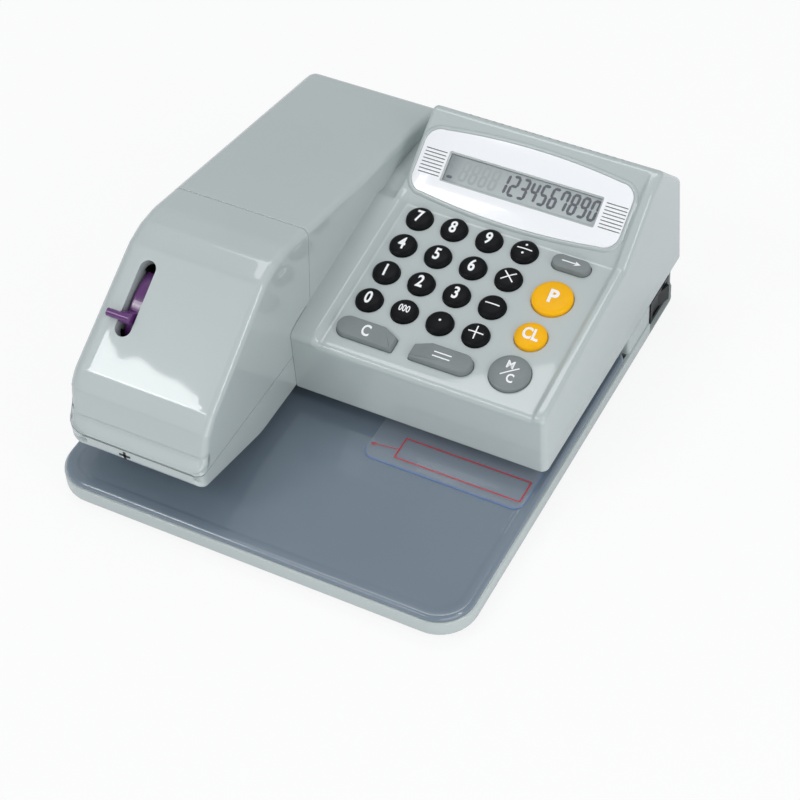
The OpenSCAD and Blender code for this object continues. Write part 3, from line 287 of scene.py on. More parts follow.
# Upper shell. One injection moulding in light grey green ABS with a polished
# skin: keyboard and display housing on the right, tower on the left. Its walls
# lean inward for the mould, and its edges are rounded.
def rounded(corners, radii, steps=7):
    """A closed outline with arcs at its corners. An arc's centre lies on the corner's bisector, at
    radius / sin(half the corner); its points turn evenly between the feet on both sides.
    Gives points and outward normals."""
    p, r = np.asarray(corners, float), np.maximum(np.asarray(radii, float), 0.02)[:, None]
    a, b = np.roll(p, 1, 0) - p, np.roll(p, -1, 0) - p
    a /= np.linalg.norm(a, axis=1)[:, None]
    b /= np.linalg.norm(b, axis=1)[:, None]
    half = np.arccos(np.clip((a * b).sum(1), -1, 1))[:, None] / 2
    centre = p + (a + b) / np.linalg.norm(a + b, axis=1)[:, None] * r / np.sin(half)
    foot_a = (p + a * r / np.tan(half) - centre)[:, None]
    foot_b = (p + b * r / np.tan(half) - centre)[:, None]
    turn = (np.pi - 2 * half)[:, None]
    w = np.linspace(0, 1, steps)[None, :, None]
    spoke = (np.sin((1 - w) * turn) * foot_a + np.sin(w * turn) * foot_b) / np.sin(turn)
    area = (p[:, 0] * np.roll(p[:, 1], -1) - p[:, 1] * np.roll(p[:, 0], -1)).sum()
    bend = np.sign(a[:, 1] * b[:, 0] - a[:, 0] * b[:, 1]) * np.sign(area)
    normal = spoke / r[:, None] * bend[:, None, None]
    return (centre[:, None] + spoke).reshape(-1, 2), normal.reshape(-1, 2)


def places(points, pitch):
    """Fractional places along a closed outline, at most pitch apart."""
    length = np.linalg.norm(np.roll(points, -1, 0) - points, axis=1)
    count = np.maximum(np.ceil(length / pitch).astype(int), 1)
    first = np.repeat(np.arange(len(count)), count)
    step = np.arange(count.sum()) - np.repeat(np.cumsum(count) - count, count)
    return first + step / np.repeat(count, count)


def at(values, u):
    """Values of a closed list at fractional places, straight between neighbours."""
    v = np.asarray(values, float)
    i = np.floor(u).astype(int)
    f = u - i
    f = f[:, None] if v.ndim > 1 else f
    return v[i % len(v)] * (1 - f) + v[(i + 1) % len(v)] * f


def edge_columns(x0, x1, left, right, middle, steps=7):
    """Columns from the left wall to the right: over the left edge x grows as radius (1 - cos t) while
    the outline is drawn in by radius (1 - sin t), and the same mirrored over the right edge.
    Gives x and how far each is drawn in."""
    t = np.linspace(0, np.pi / 2, steps)[None]
    back = t[:, ::-1]
    l, r = left[:, None], right[:, None]
    flat = np.zeros((len(left), len(middle)))
    over_left = x0[:, None] + l * (1 - np.cos(t))
    over_right = x1[:, None] - r * (1 - np.cos(back))
    x = np.hstack([over_left, flat + np.asarray(middle)[None], over_right])
    return x, np.hstack([l * (1 - np.sin(t)), flat, r * (1 - np.sin(back))])


def carried(x, drawn, outline, inward, lift=0.0, outward=None):
    """Points of a side outline at columns x, moved along inward by drawn and along outward by lift."""
    lifted = 0 if outward is None else np.asarray(lift)[..., None] * outward[:, None]
    yz = outline[:, None] + inward[:, None] * drawn[..., None] + lifted
    return np.concatenate([x[..., None], yz], -1)


CASE_FOOT, WALL_LEAN = 26.4, 0.03


def lean(points, left, right):
    """Both walls lean inward by WALL_LEAN per unit of height, in proportion across the width."""
    p = points.copy()
    across = (p[..., 0] - left) / (right - left)
    p[..., 0] += WALL_LEAN * (p[..., 2] - CASE_FOOT) * (1 - 2 * across)
    return p


def lean_right(points, right, reach=30.0):
    """The right wall alone leans inward, and what lies less than reach beside it by its share."""
    p = points.copy()
    p[..., 0] -= WALL_LEAN * (p[..., 2] - CASE_FOOT) * np.clip((p[..., 0] - right + reach) / reach, 0, 1)
    return p


def slab(x0, x1, corners):
    """A side outline carried straight from x0 to x1."""
    c = np.asarray(corners, float)
    ends = [np.column_stack([np.full(len(c), x), c]) for x in (x0, x1)]
    return grid(np.stack(ends), close_columns=True, ends=True)


def drum(radius, low, high, frame_of, count=40):
    """A round bar in a panel's frame, from low to high over it."""
    t = np.linspace(0, 2 * np.pi, count, endpoint=False)
    ring = [frame_of(radius * np.cos(t), radius * np.sin(t), np.full(count, h)) for h in (low, high)]
    return grid(np.stack(ring), close_columns=True, ends=True)


def cut(made, parts, operation="DIFFERENCE", sharp=40.0):
    """Takes parts out of a piece, or adds them, and keeps the result as its mesh."""
    tool = bpy.data.objects.new("cutter", mesh_of("cutter", parts))
    bpy.context.scene.collection.objects.link(tool)
    step = made.modifiers.new("cut", "BOOLEAN")
    step.operation, step.solver, step.object = operation, "MANIFOLD", tool
    bpy.context.view_layer.update()
    worked = made.evaluated_get(bpy.context.evaluated_depsgraph_get())
    result = bpy.data.meshes.new_from_object(worked)
    made.modifiers.clear()
    old, made.data = made.data, result
    result.name = made.name
    smooth(result, sharp)
    bpy.data.meshes.remove(old)
    bpy.data.meshes.remove(tool.data)


GLOSS = dict(Coat_Weight=1.0, Coat_Roughness=0.03, IOR=1.5)
case_plastic = Finish("case_plastic", (186, 195, 194), Roughness=0.3, **GLOSS)
flow = case_plastic.noise(9.0, 3.0)
grain = case_plastic.noise(900.0)
case_plastic.set(
    Base_Color=case_plastic.vary(flow.step(0.35, 0.65), 0.985, 1.015),
    Roughness=flow * 0.08 + 0.3,
    Normal=case_plastic.bump(grain, 0.00001, 0.25),
)

KB_Y, TILT, DISPLAY_TILT = -41.0, math.radians(8), math.radians(33)
PANEL_Z, DISP_Y, DISP_Z = 66.1 - 8 * math.tan(TILT), 69.0, 66.1 + 102 * math.tan(TILT)


def on_panel(x, s, h):
    """Key panel: x across, s up its slope from the case's front, h square to it."""
    c, d = math.cos(TILT), math.sin(TILT)
    return np.stack([x + 0 * h, KB_Y + s * c - h * d, PANEL_Z + s * d + h * c], -1)


def on_display(x, s, h):
    """Display face: x across, s up its slope from the fold, h square to it."""
    c, d = math.cos(DISPLAY_TILT), math.sin(DISPLAY_TILT)
    return np.stack([x + 0 * h, DISP_Y + s * c - h * d, DISP_Z + s * d + h * c], -1)


def soft(x, a, b):
    """0 up to a and 1 from b on, with a slow start and end between them."""
    t = np.clip((x - a) / (b - a), 0, 1)
    return t * t * (3 - 2 * t)


# Side outlines as (y, z), from the foot in front over the ridge to the foot
# behind; the channel beside the tower runs lower than the housing.
STEPS = 7
front_feet = [(KB_Y, CASE_FOOT), (-39.9, 65.1), (DISP_Y, DISP_Z)]
case_corners = front_feet + [(120.25, 113.64), (148.25, 85.76), (150, CASE_FOOT)]
channel_corners = front_feet + [(89, 83.9), (148.3, 80), (150, CASE_FOOT)]
case_line, case_out = rounded(case_corners, [0.8, 4.2, 5, 4.8, 5, 0.6], STEPS)
channel_line, channel_out = rounded(channel_corners, [0.8, 4.2, 5, 20, 4, 0.6], STEPS)
case_in = -case_out
case_in[:STEPS], case_in[-STEPS:] = (1, 0), (-1, 0)
u = places(case_line, 2.0)
u = u[u <= 6 * STEPS - 1]
line, inward, outward = at(case_line, u), at(case_in, u), at(case_out, u)
side_line, side_out = at(channel_line, u), at(channel_out, u)

# The rail and border rise from the panel's front in a quarter arc. The rail
# runs out where the display begins; the border goes on up the display's side.
RAIL_RISE, BORDER_RISE = 3.5, 2.2
on_top = (u >= STEPS) & (u < 4 * STEPS)
rise = np.sqrt(1 - (1 - np.clip((line[:, 0] - KB_Y - 1.2) / 11, 0, 1)) ** 2) * on_top
up_display = np.clip((line[:, 0] - DISP_Y) / math.cos(DISPLAY_TILT), 0, None)
rail_rise = rise * np.clip(1 - up_display / 8.3, 0, 1) * RAIL_RISE
border_rise = rise * np.clip((118 - line[:, 0]) / 10, 0, 1) * BORDER_RISE
display_share = soft(line[:, 0], 74, 84) * (u >= 2 * STEPS)

CHANNEL_X, CASE_RIGHT = -19.8, 126.0
near_rail, near_border = np.linspace(-17.2, -11.5, 10), np.linspace(116.6, 120.6, 9)
middle = np.r_[near_rail, np.linspace(-8, 114, 13), near_border, 121.5]
right_edge = at(np.repeat([4.0, 3.2, 3.2, 3.2, 4.3, 4.3], STEPS), u)
all_along = np.ones(len(u))
x, drawn = edge_columns(CHANNEL_X * all_along, CASE_RIGHT * all_along, 2.4 * all_along, right_edge, middle)
drawn[:, :STEPS] *= display_share[:, None]
lift = rail_rise[:, None] * soft(-x, 12.2, 17.2) + border_rise[:, None] * soft(x, 117.0, 120.2)
housing = lean_right(carried(x, drawn, line, inward, lift, outward), CASE_RIGHT)

# The channel's wall follows the tower's lean, and gives way to the head in front.
channel_x = np.tile([-28.6, -24.0, CHANNEL_X], (len(u), 1))
channel_x[:, 0] -= WALL_LEAN * (side_line[:, 1] - CASE_FOOT) + 2.0 * (side_line[:, 0] > -19.6)
channel_rise = (rise * RAIL_RISE * (1 - soft(side_line[:, 0], 66, 76)))[:, None] * np.ones((1, 3))
channel = carried(channel_x, np.zeros_like(channel_x), side_line, -side_out, channel_rise, side_out)
case_skin = grid(np.hstack([channel, housing]).transpose(1, 0, 2), close_columns=True, ends=True)
upper_case = piece("upper_case_shell", [case_skin], case_plastic, "housing", ["upper_case"])

# Tower: its front end is cut off square to the seam with the head's cover.
HEAD_LEFT, HEAD_RIGHT, ALONG_SEAM = -122.0, -28.8, (-0.169, -0.986)
tower_corners = [(-19.55, CASE_FOOT), (-19.55, 50), (-7.85, 118.21), (148.3, 86.15), (150, CASE_FOOT)]
tower_line, tower_out = rounded(tower_corners, [0.2, 0.2, 0.35, 8.2, 0.4], STEPS)
tower_in = -tower_out
tower_in[:2 * STEPS], tower_in[2 * STEPS:3 * STEPS], tower_in[-STEPS:] = 0, ALONG_SEAM, (-1, 0)
v = places(tower_line, 4.0)
v = v[v <= 5 * STEPS - 1]
tower_left = at(np.repeat([4.0, 4.0, 8.0, 8.0, 4.4], STEPS), v)
tower_right = at(np.repeat([4.0, 4.0, 4.6, 4.6, 4.4], STEPS), v)
walls = np.full(len(v), HEAD_LEFT), np.full(len(v), HEAD_RIGHT)
x, drawn = edge_columns(*walls, tower_left, tower_right, np.linspace(-110, -36, 6), 9)
tower = lean(carried(x, drawn, at(tower_line, v), at(tower_in, v)), HEAD_LEFT, HEAD_RIGHT)
cut(upper_case, [grid(tower.transpose(1, 0, 2), close_columns=True, ends=True)], "UNION")

# Inside it is hollow, with walls of 2.5 mm; the spaces overlap, so each is cut
# by itself.
hollow_front = [(-38.4, 20), (-37.3, 62.6), (69.6, 77.8)]
hollow_back = [(147.4, 29), (139, 29), (139, 20)]
case_hollow, faces = slab(-17.3, 123.5, hollow_front + [(119.6, 110.2), (145.4, 84.6)] + hollow_back)
cut(upper_case, [(lean_right(case_hollow, CASE_RIGHT), faces)])
cut(upper_case, [slab(-26.1, -17.0, hollow_front + [(90, 81), (145.4, 77)] + hollow_back)])
tower_hollow, faces = slab(-119.5, -31.3, [(-32, 20), (-32, 120.6), (145.3, 84.2)] + hollow_back)
cut(upper_case, [(lean(tower_hollow, HEAD_LEFT, HEAD_RIGHT), faces)])

# Every key, the display and the vents behind the ridge have their own opening.
# A round key is at x, s and has a radius; the others have an outline.
COLUMN = -0.3 + 22 * np.arange(4)
ROW = 40 + 21 * np.arange(4)
SIDE_X, ARROW_S, KEY_GAP = 94.1, 103.8, 0.4
KEY_ROWS = ["0 000 point plus", "1 2 3 minus", "4 5 6 times", "7 8 9 divide"]
key_place = {
    "key_" + sign: (x, s, 7.8) for s, row in zip(ROW, KEY_ROWS) for x, sign in zip(COLUMN, row.split())
}
key_place["key_print"] = (SIDE_X, 78.6, 11.8)
key_place["key_clear"] = (SIDE_X, 50.4, 9.2)
key_place["key_memory"] = (SIDE_X, 23.6, 11.8)


def moved(frame_of, x, s):
    """A face's frame, counted from x, s on it."""

    def there(a, b, h):
        return frame_of(x + a, s + b, h)

    return there


def wide_outline(flip, grow=0.0):
    """A wide key about its middle: a half round end, a straight end and one clipped corner."""
    corners = [(-18.15, -6.7), (18.15, -6.7), (18.15, 2.4), (8.65, 6.7), (-18.15, 6.7)]
    points, out = rounded(corners, [6.65, 1, 1.2, 1.5, 6.65], 9)
    return (points + out * grow) * ([-1, 1] if flip else [1, 1])


def pill_outline(grow=0.0):
    """The arrow key about its middle: two half rounds of radius 4.9, joined."""
    t = np.linspace(-np.pi / 2, np.pi / 2, 13)
    end = np.column_stack([6.7 + (4.9 + grow) * np.cos(t), (4.9 + grow) * np.sin(t)])
    return np.vstack([end, -end])


def prism(outline, low, high, frame_of):
    """An outline carried square to a face, from low to high over it."""
    h = np.ones(len(outline))
    rings = [frame_of(outline[:, 0], outline[:, 1], h * z) for z in (low, high)]
    return grid(np.stack(rings), close_columns=True, ends=True)


def oblong(half_w, half_h):
    """A rectangle about its middle."""
    return np.array([(-half_w, -half_h), (half_w, -half_h), (half_w, half_h), (-half_w, half_h)])


VENTS, VENT_PITCH, VENT_W = 20, 5, 2.5
on_pane = moved(on_display, 48.9, 27.8)
wide_place = {"key_c": (9.05, 18.8, False), "key_equals": (55.75, 18.8, True)}
openings = [drum(r + KEY_GAP, -12, 12, moved(on_panel, x, s)) for x, s, r in key_place.values()]
openings += [prism(wide_outline(flip, KEY_GAP), -12, 12, moved(on_panel, x, s))
             for x, s, flip in wide_place.values()]
openings += [prism(pill_outline(KEY_GAP), -12, 12, moved(on_panel, SIDE_X, ARROW_S))]
openings += [prism(oblong(47.2, 8.3), -8, 6, on_pane)]
openings += [slab(x, x + VENT_W, [(123.4, 116.6), (131.0, 109.0), (127.6, 101.6), (120.0, 109.0)])
             for x in 2.2 + VENT_PITCH * np.arange(VENTS)]
cut(upper_case, openings)

# Head. The cover and the tub under it are two more mouldings of the same
# plastic; the tub's underside rises to the front to let the check in.
def setback(y, front, radius):
    """How far a plan corner of this radius cuts the wall back at depth y behind the front."""
    d = np.clip(radius - (y - front), 0, radius)
    return radius - np.sqrt(radius**2 - d**2)


def hood(corners, radii, inward_at, walls, plan_corners, edges, level, last_y, pitch=2.0, middle=8):
    """A form over a plan with rounded corners: rows follow the outline, columns cross it, and beyond each
    rounded edge a wall runs to the level of the open side, which one face closes. walls, plan_corners
    and edges are each given left and right: where the wall is, and the radii in plan and along the top."""
    lines, out = rounded(corners, radii, STEPS)
    inward = -out
    for i, way in inward_at.items():
        inward[i * STEPS:(i + 1) * STEPS] = way
    w = places(lines, pitch)
    w = w[w <= len(lines) - 1]
    yz, inn = at(lines, w), at(inward, w)
    front = lines[:, 0].min()
    deep = np.abs(yz[:, 1] - level)
    xl = walls[0] + setback(yz[:, 0], front, plan_corners[0])
    xr = walls[1] - setback(yz[:, 0], front, plan_corners[1])
    left_edge, right_edge = np.minimum(edges[0], deep * 0.7), np.minimum(edges[1], deep * 0.7)
    x, drawn = edge_columns(xl, xr, left_edge, right_edge, np.zeros(middle), 9)
    share = np.linspace(0, 1, middle + 2)[1:-1]
    x[:, 9:-9] = x[:, 8:9] * (1 - share) + x[:, -9:-8] * share
    skin = carried(x, drawn, yz, inn)
    foot_y = np.minimum(yz[:, 0], last_y)
    left = np.column_stack([xl, foot_y, np.full(len(w), level)])[:, None]
    right = np.column_stack([xr, foot_y, np.full(len(w), level)])[:, None]
    points, faces = grid(lean(np.hstack([left, skin, right]), *walls))
    index = np.arange(len(points)).reshape(len(w), -1)
    faces.append(np.r_[index[0], index[1:, -1], index[-1, -2::-1], index[-2:0:-1, 0]].tolist())
    return points, faces


cover_corners = [
    (-140, 50), (-140, 52), (-135.2, 56.2), (-133.7, 57.6), (-134.0, 59.4), (-128.5, 71),
    (-120, 79.2), (-56, 118.87), (-43, 122.57), (-29, 122.57), (-8.3, 118.3), (-20, 50),
]
cover_radii = [0.2, 1.6, 0.7, 0.6, 0.9, 5.5, 12, 16, 16, 30, 0.35, 0.2]
head_walls, inner_walls = (HEAD_LEFT, HEAD_RIGHT), (-119.5, -31.3)
cover_ways = {0: (1, 0), 10: ALONG_SEAM, 11: (0, 0)}
cover_skin = hood(cover_corners, cover_radii, cover_ways, head_walls, (18, 5), (8.2, 4.6), 50, -20)
cover = piece("head_cover_shell", [cover_skin], case_plastic, "housing", ["head_cover"])
cover_hollow = [
    (-137.5, 44), (-137.5, 51.5), (-131.6, 57), (-125.9, 70.2), (-118.5, 76.9),
    (-55, 116.3), (-42.8, 120), (-29.2, 120), (-3, 114.8), (-15, 44),
]
cut(cover, [hood(cover_hollow, [0.2] * 10, {}, inner_walls, (15.5, 2.5), (0.2, 0.2), 44, -15, 8.0, 2)])

FACE_TILT, SLOT_X, SLOT_Y, SLOT_Z = math.radians(32.4), -99.5, -81.0, 103.0


def on_face(x, s, h):
    """Head's sloping face: x across, s up its slope from the lever slot's middle, h square to it."""
    c, d = math.cos(FACE_TILT), math.sin(FACE_TILT)
    return np.stack([x + 0 * h, SLOT_Y + s * c - h * d, SLOT_Z + s * d + h * c], -1)


def slot_outline(grow=0.0):
    """The lever slot about its middle: two half rounds of radius 5, 34.6 mm apart."""
    t = np.linspace(0, np.pi, 17)
    end = np.column_stack([(5 + grow) * np.cos(t), 17.3 + (5 + grow) * np.sin(t)])
    return np.vstack([end, -end])


slot_at = moved(on_face, SLOT_X, 0)
cut(cover, [prism(oblong(6.2, 17), -10, -1.5, slot_at)], "UNION")
cut(cover, [prism(slot_outline(1.3), -7, -1.5, slot_at)], "UNION")
cut(cover, [prism(slot_outline(), -11, 6, slot_at)])

tub_corners = [(-140.5, 49.6), (-140.5, 40.4), (-81, 26.4), (-20, 26.4), (-20, 49.6)]
tub_ways = {0: (1, 0), 3: (0, 1), 4: (0, 0)}
tub_skin = hood(tub_corners, [0.2, 5.5, 40, 0.3, 0.2], tub_ways, head_walls, (18, 5), (2.5, 2.2), 49.6, -20)
tub = piece("head_base_tub", [tub_skin], case_plastic, "housing", ["head_base"])
tub_corners = [(-138, 56), (-138, 43.2), (-80.8, 28.9), (-17, 28.9), (-17, 56)]
tub_hollow = hood(tub_corners, [0.2] * 5, {}, inner_walls, (15.5, 2.5), (0.2, 0.2), 56, -17, 8.0, 2)
wheel_opening = slab(-86.3, -70.3, [(-67, 20), (-33, 20), (-33, 30), (-67, 30)])
cut(tub, [tub_hollow, wheel_opening])


# Tray and lower housing. The bottom moulding: a shallow tray in front with a
# turned-under edge, and the box behind that carries the case, switch and inlet.
def ringed(line, out, profile):
    """A profile of (inset, height) carried round a plan outline."""
    p = np.asarray(profile, float)
    flat = line[None] - out[None] * p[:, :1, None]
    return np.concatenate([flat, np.broadcast_to(p[:, 1:, None], (*flat.shape[:2], 1))], -1)


def block(x0, x1, y0, y1, z0, z1):
    """A plain box."""
    return slab(x0, x1, [(y0, z0), (y1, z0), (y1, z1), (y0, z1)])


def plate(x0, x1, y0, y1, radii, profile, steps=12):
    """A flat moulding: a rounded plan whose edge follows a profile, closed above and below."""
    line, out = rounded([(x0, y0), (x1, y0), (x1, y1), (x0, y1)], radii, steps)
    return grid(ringed(line, out, profile), close_columns=True, ends=True)


def upright(x, y, h):
    """The part's own frame."""
    return np.stack([x, y, h + 0 * x], -1)


def along_y(y0, y1, x, z, radius):
    """A round bar along y."""

    def there(a, b, h):
        return np.stack([x + a, h + 0 * a, z + b], -1)

    return drum(radius, y0, y1, there)


def quarter(inset, height, radius, start, end, count=6):
    """Points of a quarter round edge, as (inset, height) about its centre."""
    t = np.radians(np.linspace(start, end, count))
    return np.column_stack([inset - radius * np.cos(t), height + radius * np.sin(t)]).tolist()


screws = [(-112.5, 84), (108.5, 84), (-112.5, 132), (99.5, 132)]
feet = [(-101.5, -124), (101.5, -124), (-101.5, 114), (87.5, 114)]
tray_edge = quarter(2.2, 5.2, 2.2, -90, 0) + quarter(0.6, 12.8, 0.6, 0, 90, 4)
tray_skin = plate(-127.5, 127.5, -150, 140, [22, 22, 10, 10], tray_edge)
tray = piece("tray_shell", [tray_skin], case_plastic, "housing", ["base_tray"])
box_edge, hollow_wall = [(1, 3), (0, 4), (0, 25.9), (0.5, CASE_FOOT)], [(0, 5.5), (0, 30)]
cut(tray, [plate(-122, 126.5, 72, 140, [2.5, 2.5, 10, 10], box_edge)], "UNION")
cut(tray, [plate(-125, 125, -147.5, 71.7, [19.5, 19.5, 1, 1], hollow_wall),
           plate(-119.5, 120.5, 74.5, 137.5, [1, 1, 7.5, 7.5], hollow_wall)])

# On its floor stand the screw posts, the ribs under the deck and the three
# bearings of the feed shaft; then the openings are cut.
FEED_X, FEED_Z = -78.3, 11.2
screw_posts = [drum(4.5, 4, CASE_FOOT, moved(upright, *p)) for p in screws]
bearings = [block(FEED_X - 5, FEED_X + 5, y - 1.5, y + 1.5, 5, 13.1) for y in (-17, 5, 64)]
deck_ribs = [block(x - 20, x + 20, y, y + 2.5, 5, 13.4) for y in (-120, -80, 42) for x in (-45, 25, 95)]
cut(tray, screw_posts + bearings + deck_ribs, "UNION")
recess, inlet_hole = block(124, 144, 100, 135, 5.5, 32), block(59.5, 84.5, 136.5, 141.5, 9.5, 23.5)
shaft_holes = [along_y(-20, 69, FEED_X, FEED_Z, 1.55), along_y(71, 75.5, FEED_X, FEED_Z, 3)]
head_holes = [drum(4, 2, 5.5, moved(upright, *p)) for p in screws]
foot_holes = [drum(3, 2, 6, moved(upright, *p)) for p in feet]
cut(tray, [recess, inlet_hole] + shaft_holes + head_holes + foot_holes)
switch_hole = block(117.5, 137.5, 108, 132, 6.5, 21.5)
cut(tray, [switch_hole] + [drum(2.2, 2, 30, moved(upright, *p)) for p in screws])


# Deck. A glossy blue grey plate, moulded with a rolled rim so that the check
# lies in a shallow tray; it closes the bottom moulding and passes under the case.
DECK_GLOSS = dict(Coat_Weight=0.8, Coat_Roughness=0.04, IOR=1.5)
deck_plastic = Finish("deck_plastic", (115, 129, 142), Roughness=0.2, **DECK_GLOSS)
haze = deck_plastic.noise(14.0, 3.0)
deck_plastic.set(
    Base_Color=deck_plastic.vary(haze.step(0.3, 0.7), 0.97, 1.03),
    Roughness=haze * 0.12 + 0.14,
    Normal=deck_plastic.bump(deck_plastic.noise(700.0), 0.00001, 0.2),
)
inner_slope = [(4.6, 16.62), (6.0, 16.55), (7.0, 16.35), (7.8, 16.1), (8.8, 16.0)]
deck_edge = [(0.3, 13.4)] + quarter(2.6, 14.0, 2.6, 0, 90, 9) + inner_slope
deck_skin = plate(-126.3, 126.3, -148.8, 71.7, [20.8, 20.8, 9.5, 9.5], deck_edge, 20)
deck = piece("deck_shell", [deck_skin], deck_plastic, "housing", ["deck_plate"])
cut(deck, [block(-83.4, -73.2, -13.3, 1.3, 12, 20), block(-83.6, -73.0, -54.3, -45.7, 12, 20)])

# Guide plate. A clear sheet with polished edges laid on the deck, printed
# with a thin red frame where the amount goes and a small red arrow.
SHEET_GLOSS = dict(IOR=1.49, Coat_Weight=0.5, Coat_Roughness=0.03)
clear_sheet = Finish("clear_sheet", (226, 236, 248), Roughness=0.06, Alpha=0.16, **SHEET_GLOSS)
fingers = clear_sheet.noise(60.0, 3.0)
clear_sheet.set(Roughness=fingers * 0.14 + 0.02)
guide_line, guide_out = rounded([(24, -62.8), (121, -62.8), (121, -10.8), (24, -10.8)], [6, 6, 3, 3], 10)
sheet_rows = ringed(guide_line, guide_out, [(0, 16.0), (0, 16.8), (0.3, 17.0)])
sheet_skin = grid(sheet_rows, close_columns=True, ends=True)
piece("guide_sheet", [sheet_skin], clear_sheet, "housing", ["guide_plate"])
# Painted refraction: a partly see-through blue band round the sheet's edge stands in for the light bent and
# mirrored in its polished edge.
edge_refraction_paint = Finish("sheet_edge", (140, 166, 214), Roughness=0.15, Alpha=0.5)
edge_refraction_paint.set(Alpha=edge_refraction_paint.noise(80.0) * 0.3 + 0.35)
edge_rows = [(0.02, 16.02), (0.02, 17.03), (0.7, 17.03), (0.7, 16.02)]
edge_skin = grid(ringed(guide_line, -guide_out, edge_rows), close_rows=True)
piece("guide_sheet_edge", [edge_skin], edge_refraction_paint, "housing")


def strip(points, width, frame_of):
    """A flat printed line of one width along a run of points."""
    p = np.asarray(points, float)
    way = np.gradient(p, axis=0)
    way /= np.linalg.norm(way, axis=1)[:, None]
    side = np.column_stack([-way[:, 1], way[:, 0]]) * width / 2
    rows = [frame_of(q[:, 0], q[:, 1], np.zeros(len(q))) for q in (p + side, p - side)]
    return grid(np.stack(rows))


def run(a, b, count=2):
    """Evenly spaced points from a to b."""
    return np.linspace(a, b, count)


def on_sheet(a, b, h):
    """Just over the guide plate's upper face."""
    return np.stack([a, b, 17.04 + h], -1)


red_ink = Finish("red_ink", (206, 30, 48), Roughness=0.45)
red_ink.roughen(300.0, 0.2, 0.35)
frame_corners = [(41.6, -57.6), (118.3, -57.6), (118.3, -42.5), (41.6, -42.5), (41.6, -57.6)]
red_lines = [strip(run(a, b), 0.7, on_sheet) for a, b in zip(frame_corners[:-1], frame_corners[1:])]
red_arrow = [((26.5, -53.5), (41.2, -51.6)), ((25.0, -53.7), (27.4, -52.3)), ((25.0, -53.7), (27.8, -54.6))]
red_lines += [strip(run(a, b), 0.5, on_sheet) for a, b in red_arrow]
piece("guide_marks", red_lines, red_ink, "housing", tidy=False)

# Display. A white lacquered frame let into the housing, with printed lines at
# both ends, round a clear pane; the housing has a raised lip all round it.
white_frame = Finish("white_frame", (251, 252, 254), Roughness=0.22, Coat_Weight=0.5, Coat_Roughness=0.05)
white_frame.roughen(20.0, 0.1, 0.16)


def bezel_line():
    """Frame outline: long arcs of radius 400 above and below, quarter rounds of radius 9 at the corners."""
    x = np.linspace(54.5, -54.5, 31)
    top = np.column_stack([x, 23.1 - 400 + np.sqrt(400**2 - x**2)])
    t = np.radians(np.linspace(4, 78, 9))
    corner = np.column_stack([55.8 + 9 * np.cos(t), 10.35 + 9 * np.sin(t)])
    upper = np.vstack([corner, top, corner[::-1] * [-1, 1]])
    line = np.vstack([upper, -upper])
    way = np.roll(line, -1, 0) - np.roll(line, 1, 0)
    way /= np.linalg.norm(way, axis=1)[:, None]
    return line, np.column_stack([way[:, 1], -way[:, 0]])


bezel_plan, bezel_out = bezel_line()


def round_bezel(profile):
    """A profile of (inset, height over the display face) carried round the frame's outline."""
    ring = ringed(bezel_plan, bezel_out, profile)
    return on_display(48.5 + ring[..., 0], 28.6 + ring[..., 1], ring[..., 2])


lip = [(-0.1, -1.2), (-0.1, 0.45), (-0.35, 0.85), (-0.8, 1.0)]
lip += [(-1.3, 0.9), (-1.9, 0.5), (-2.6, 0.1), (-3.0, -1.2)]
cut(upper_case, [grid(round_bezel(lip), close_rows=True, close_columns=True)], "UNION", 50)
frame_rows = round_bezel([(0, -0.8), (0, 0.45), (0.15, 0.7), (0.45, 0.8)])
frame_skin = grid(frame_rows, close_columns=True, ends=True)
bezel = piece("display_frame", [frame_skin], white_frame, "housing", ["display_bezel"])
pane_line, _ = rounded(oblong(48.2, 9.3), [1, 1, 1, 1], 5)
cut(bezel, [prism(pane_line, -3, 3, on_pane)])


def on_frame(a, b, h):
    """Just over the display frame's upper face."""
    return on_display(a, b, 0.83 + h)


grey_ink = Finish("grey_ink", (34, 37, 42), Roughness=0.5)
grey_ink.roughen(300.0, 0.2, 0.4)
TICKS, TICK_PITCH, TICK_HALF = 8, 2.08, 6.6
ticks = []
for x, mid in ((-7.1, 27.9), (105.9, 27.3)):
    for s in mid + TICK_PITCH * (np.arange(TICKS) - (TICKS - 1) / 2):
        ticks.append(strip(run((x - TICK_HALF, s), (x + TICK_HALF, s)), 0.5, on_frame))
piece("frame_lines", ticks, grey_ink, "housing", tidy=False)

# Liquid crystal: a grey green cell with painted shade along its upper and left
# edge, where the sunk pane would lie in shadow, and seven-stroke digits, the
# unused ones just visible.
cell = Finish("lcd_cell", (176, 183, 180), Roughness=0.35, Specular_IOR_Level=0.15)
across_cell = cell.node("ShaderNodeSeparateXYZ", values={0: cell.place()})
# Painted shade: the cell darkens towards its left edge, and towards its upper edge in a narrow band and a
# wide one; random mottle is mixed in.
left_shade_ramp = across_cell.step(0.0008, 0.012)
cell_height = Value(cell, across_cell.socket.node.outputs[2])
top_shade_ramp = (1 - cell_height.step(0.0987, 0.1005)) * 0.6 + (1 - cell_height.step(0.091, 0.1005)) * 0.4
painted_shade_and_mottle = left_shade_ramp * top_shade_ramp * 0.75 + cell.noise(40.0) * 0.15 + 0.1
cell.set(
    Base_Color=cell.mix(painted_shade_and_mottle, linear((92, 99, 106)), linear((186, 194, 194))),
    Roughness=cell.noise(500.0) * 0.1 + 0.3,
)
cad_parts["lcd_module"].data.materials[0] = cell.material
window = Finish("window", (250, 252, 253), Roughness=0.04, Alpha=0.07, IOR=1.49)
window.roughen(30.0, 0.06, 0.02)
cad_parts["display_window"].data.materials[0] = window.material

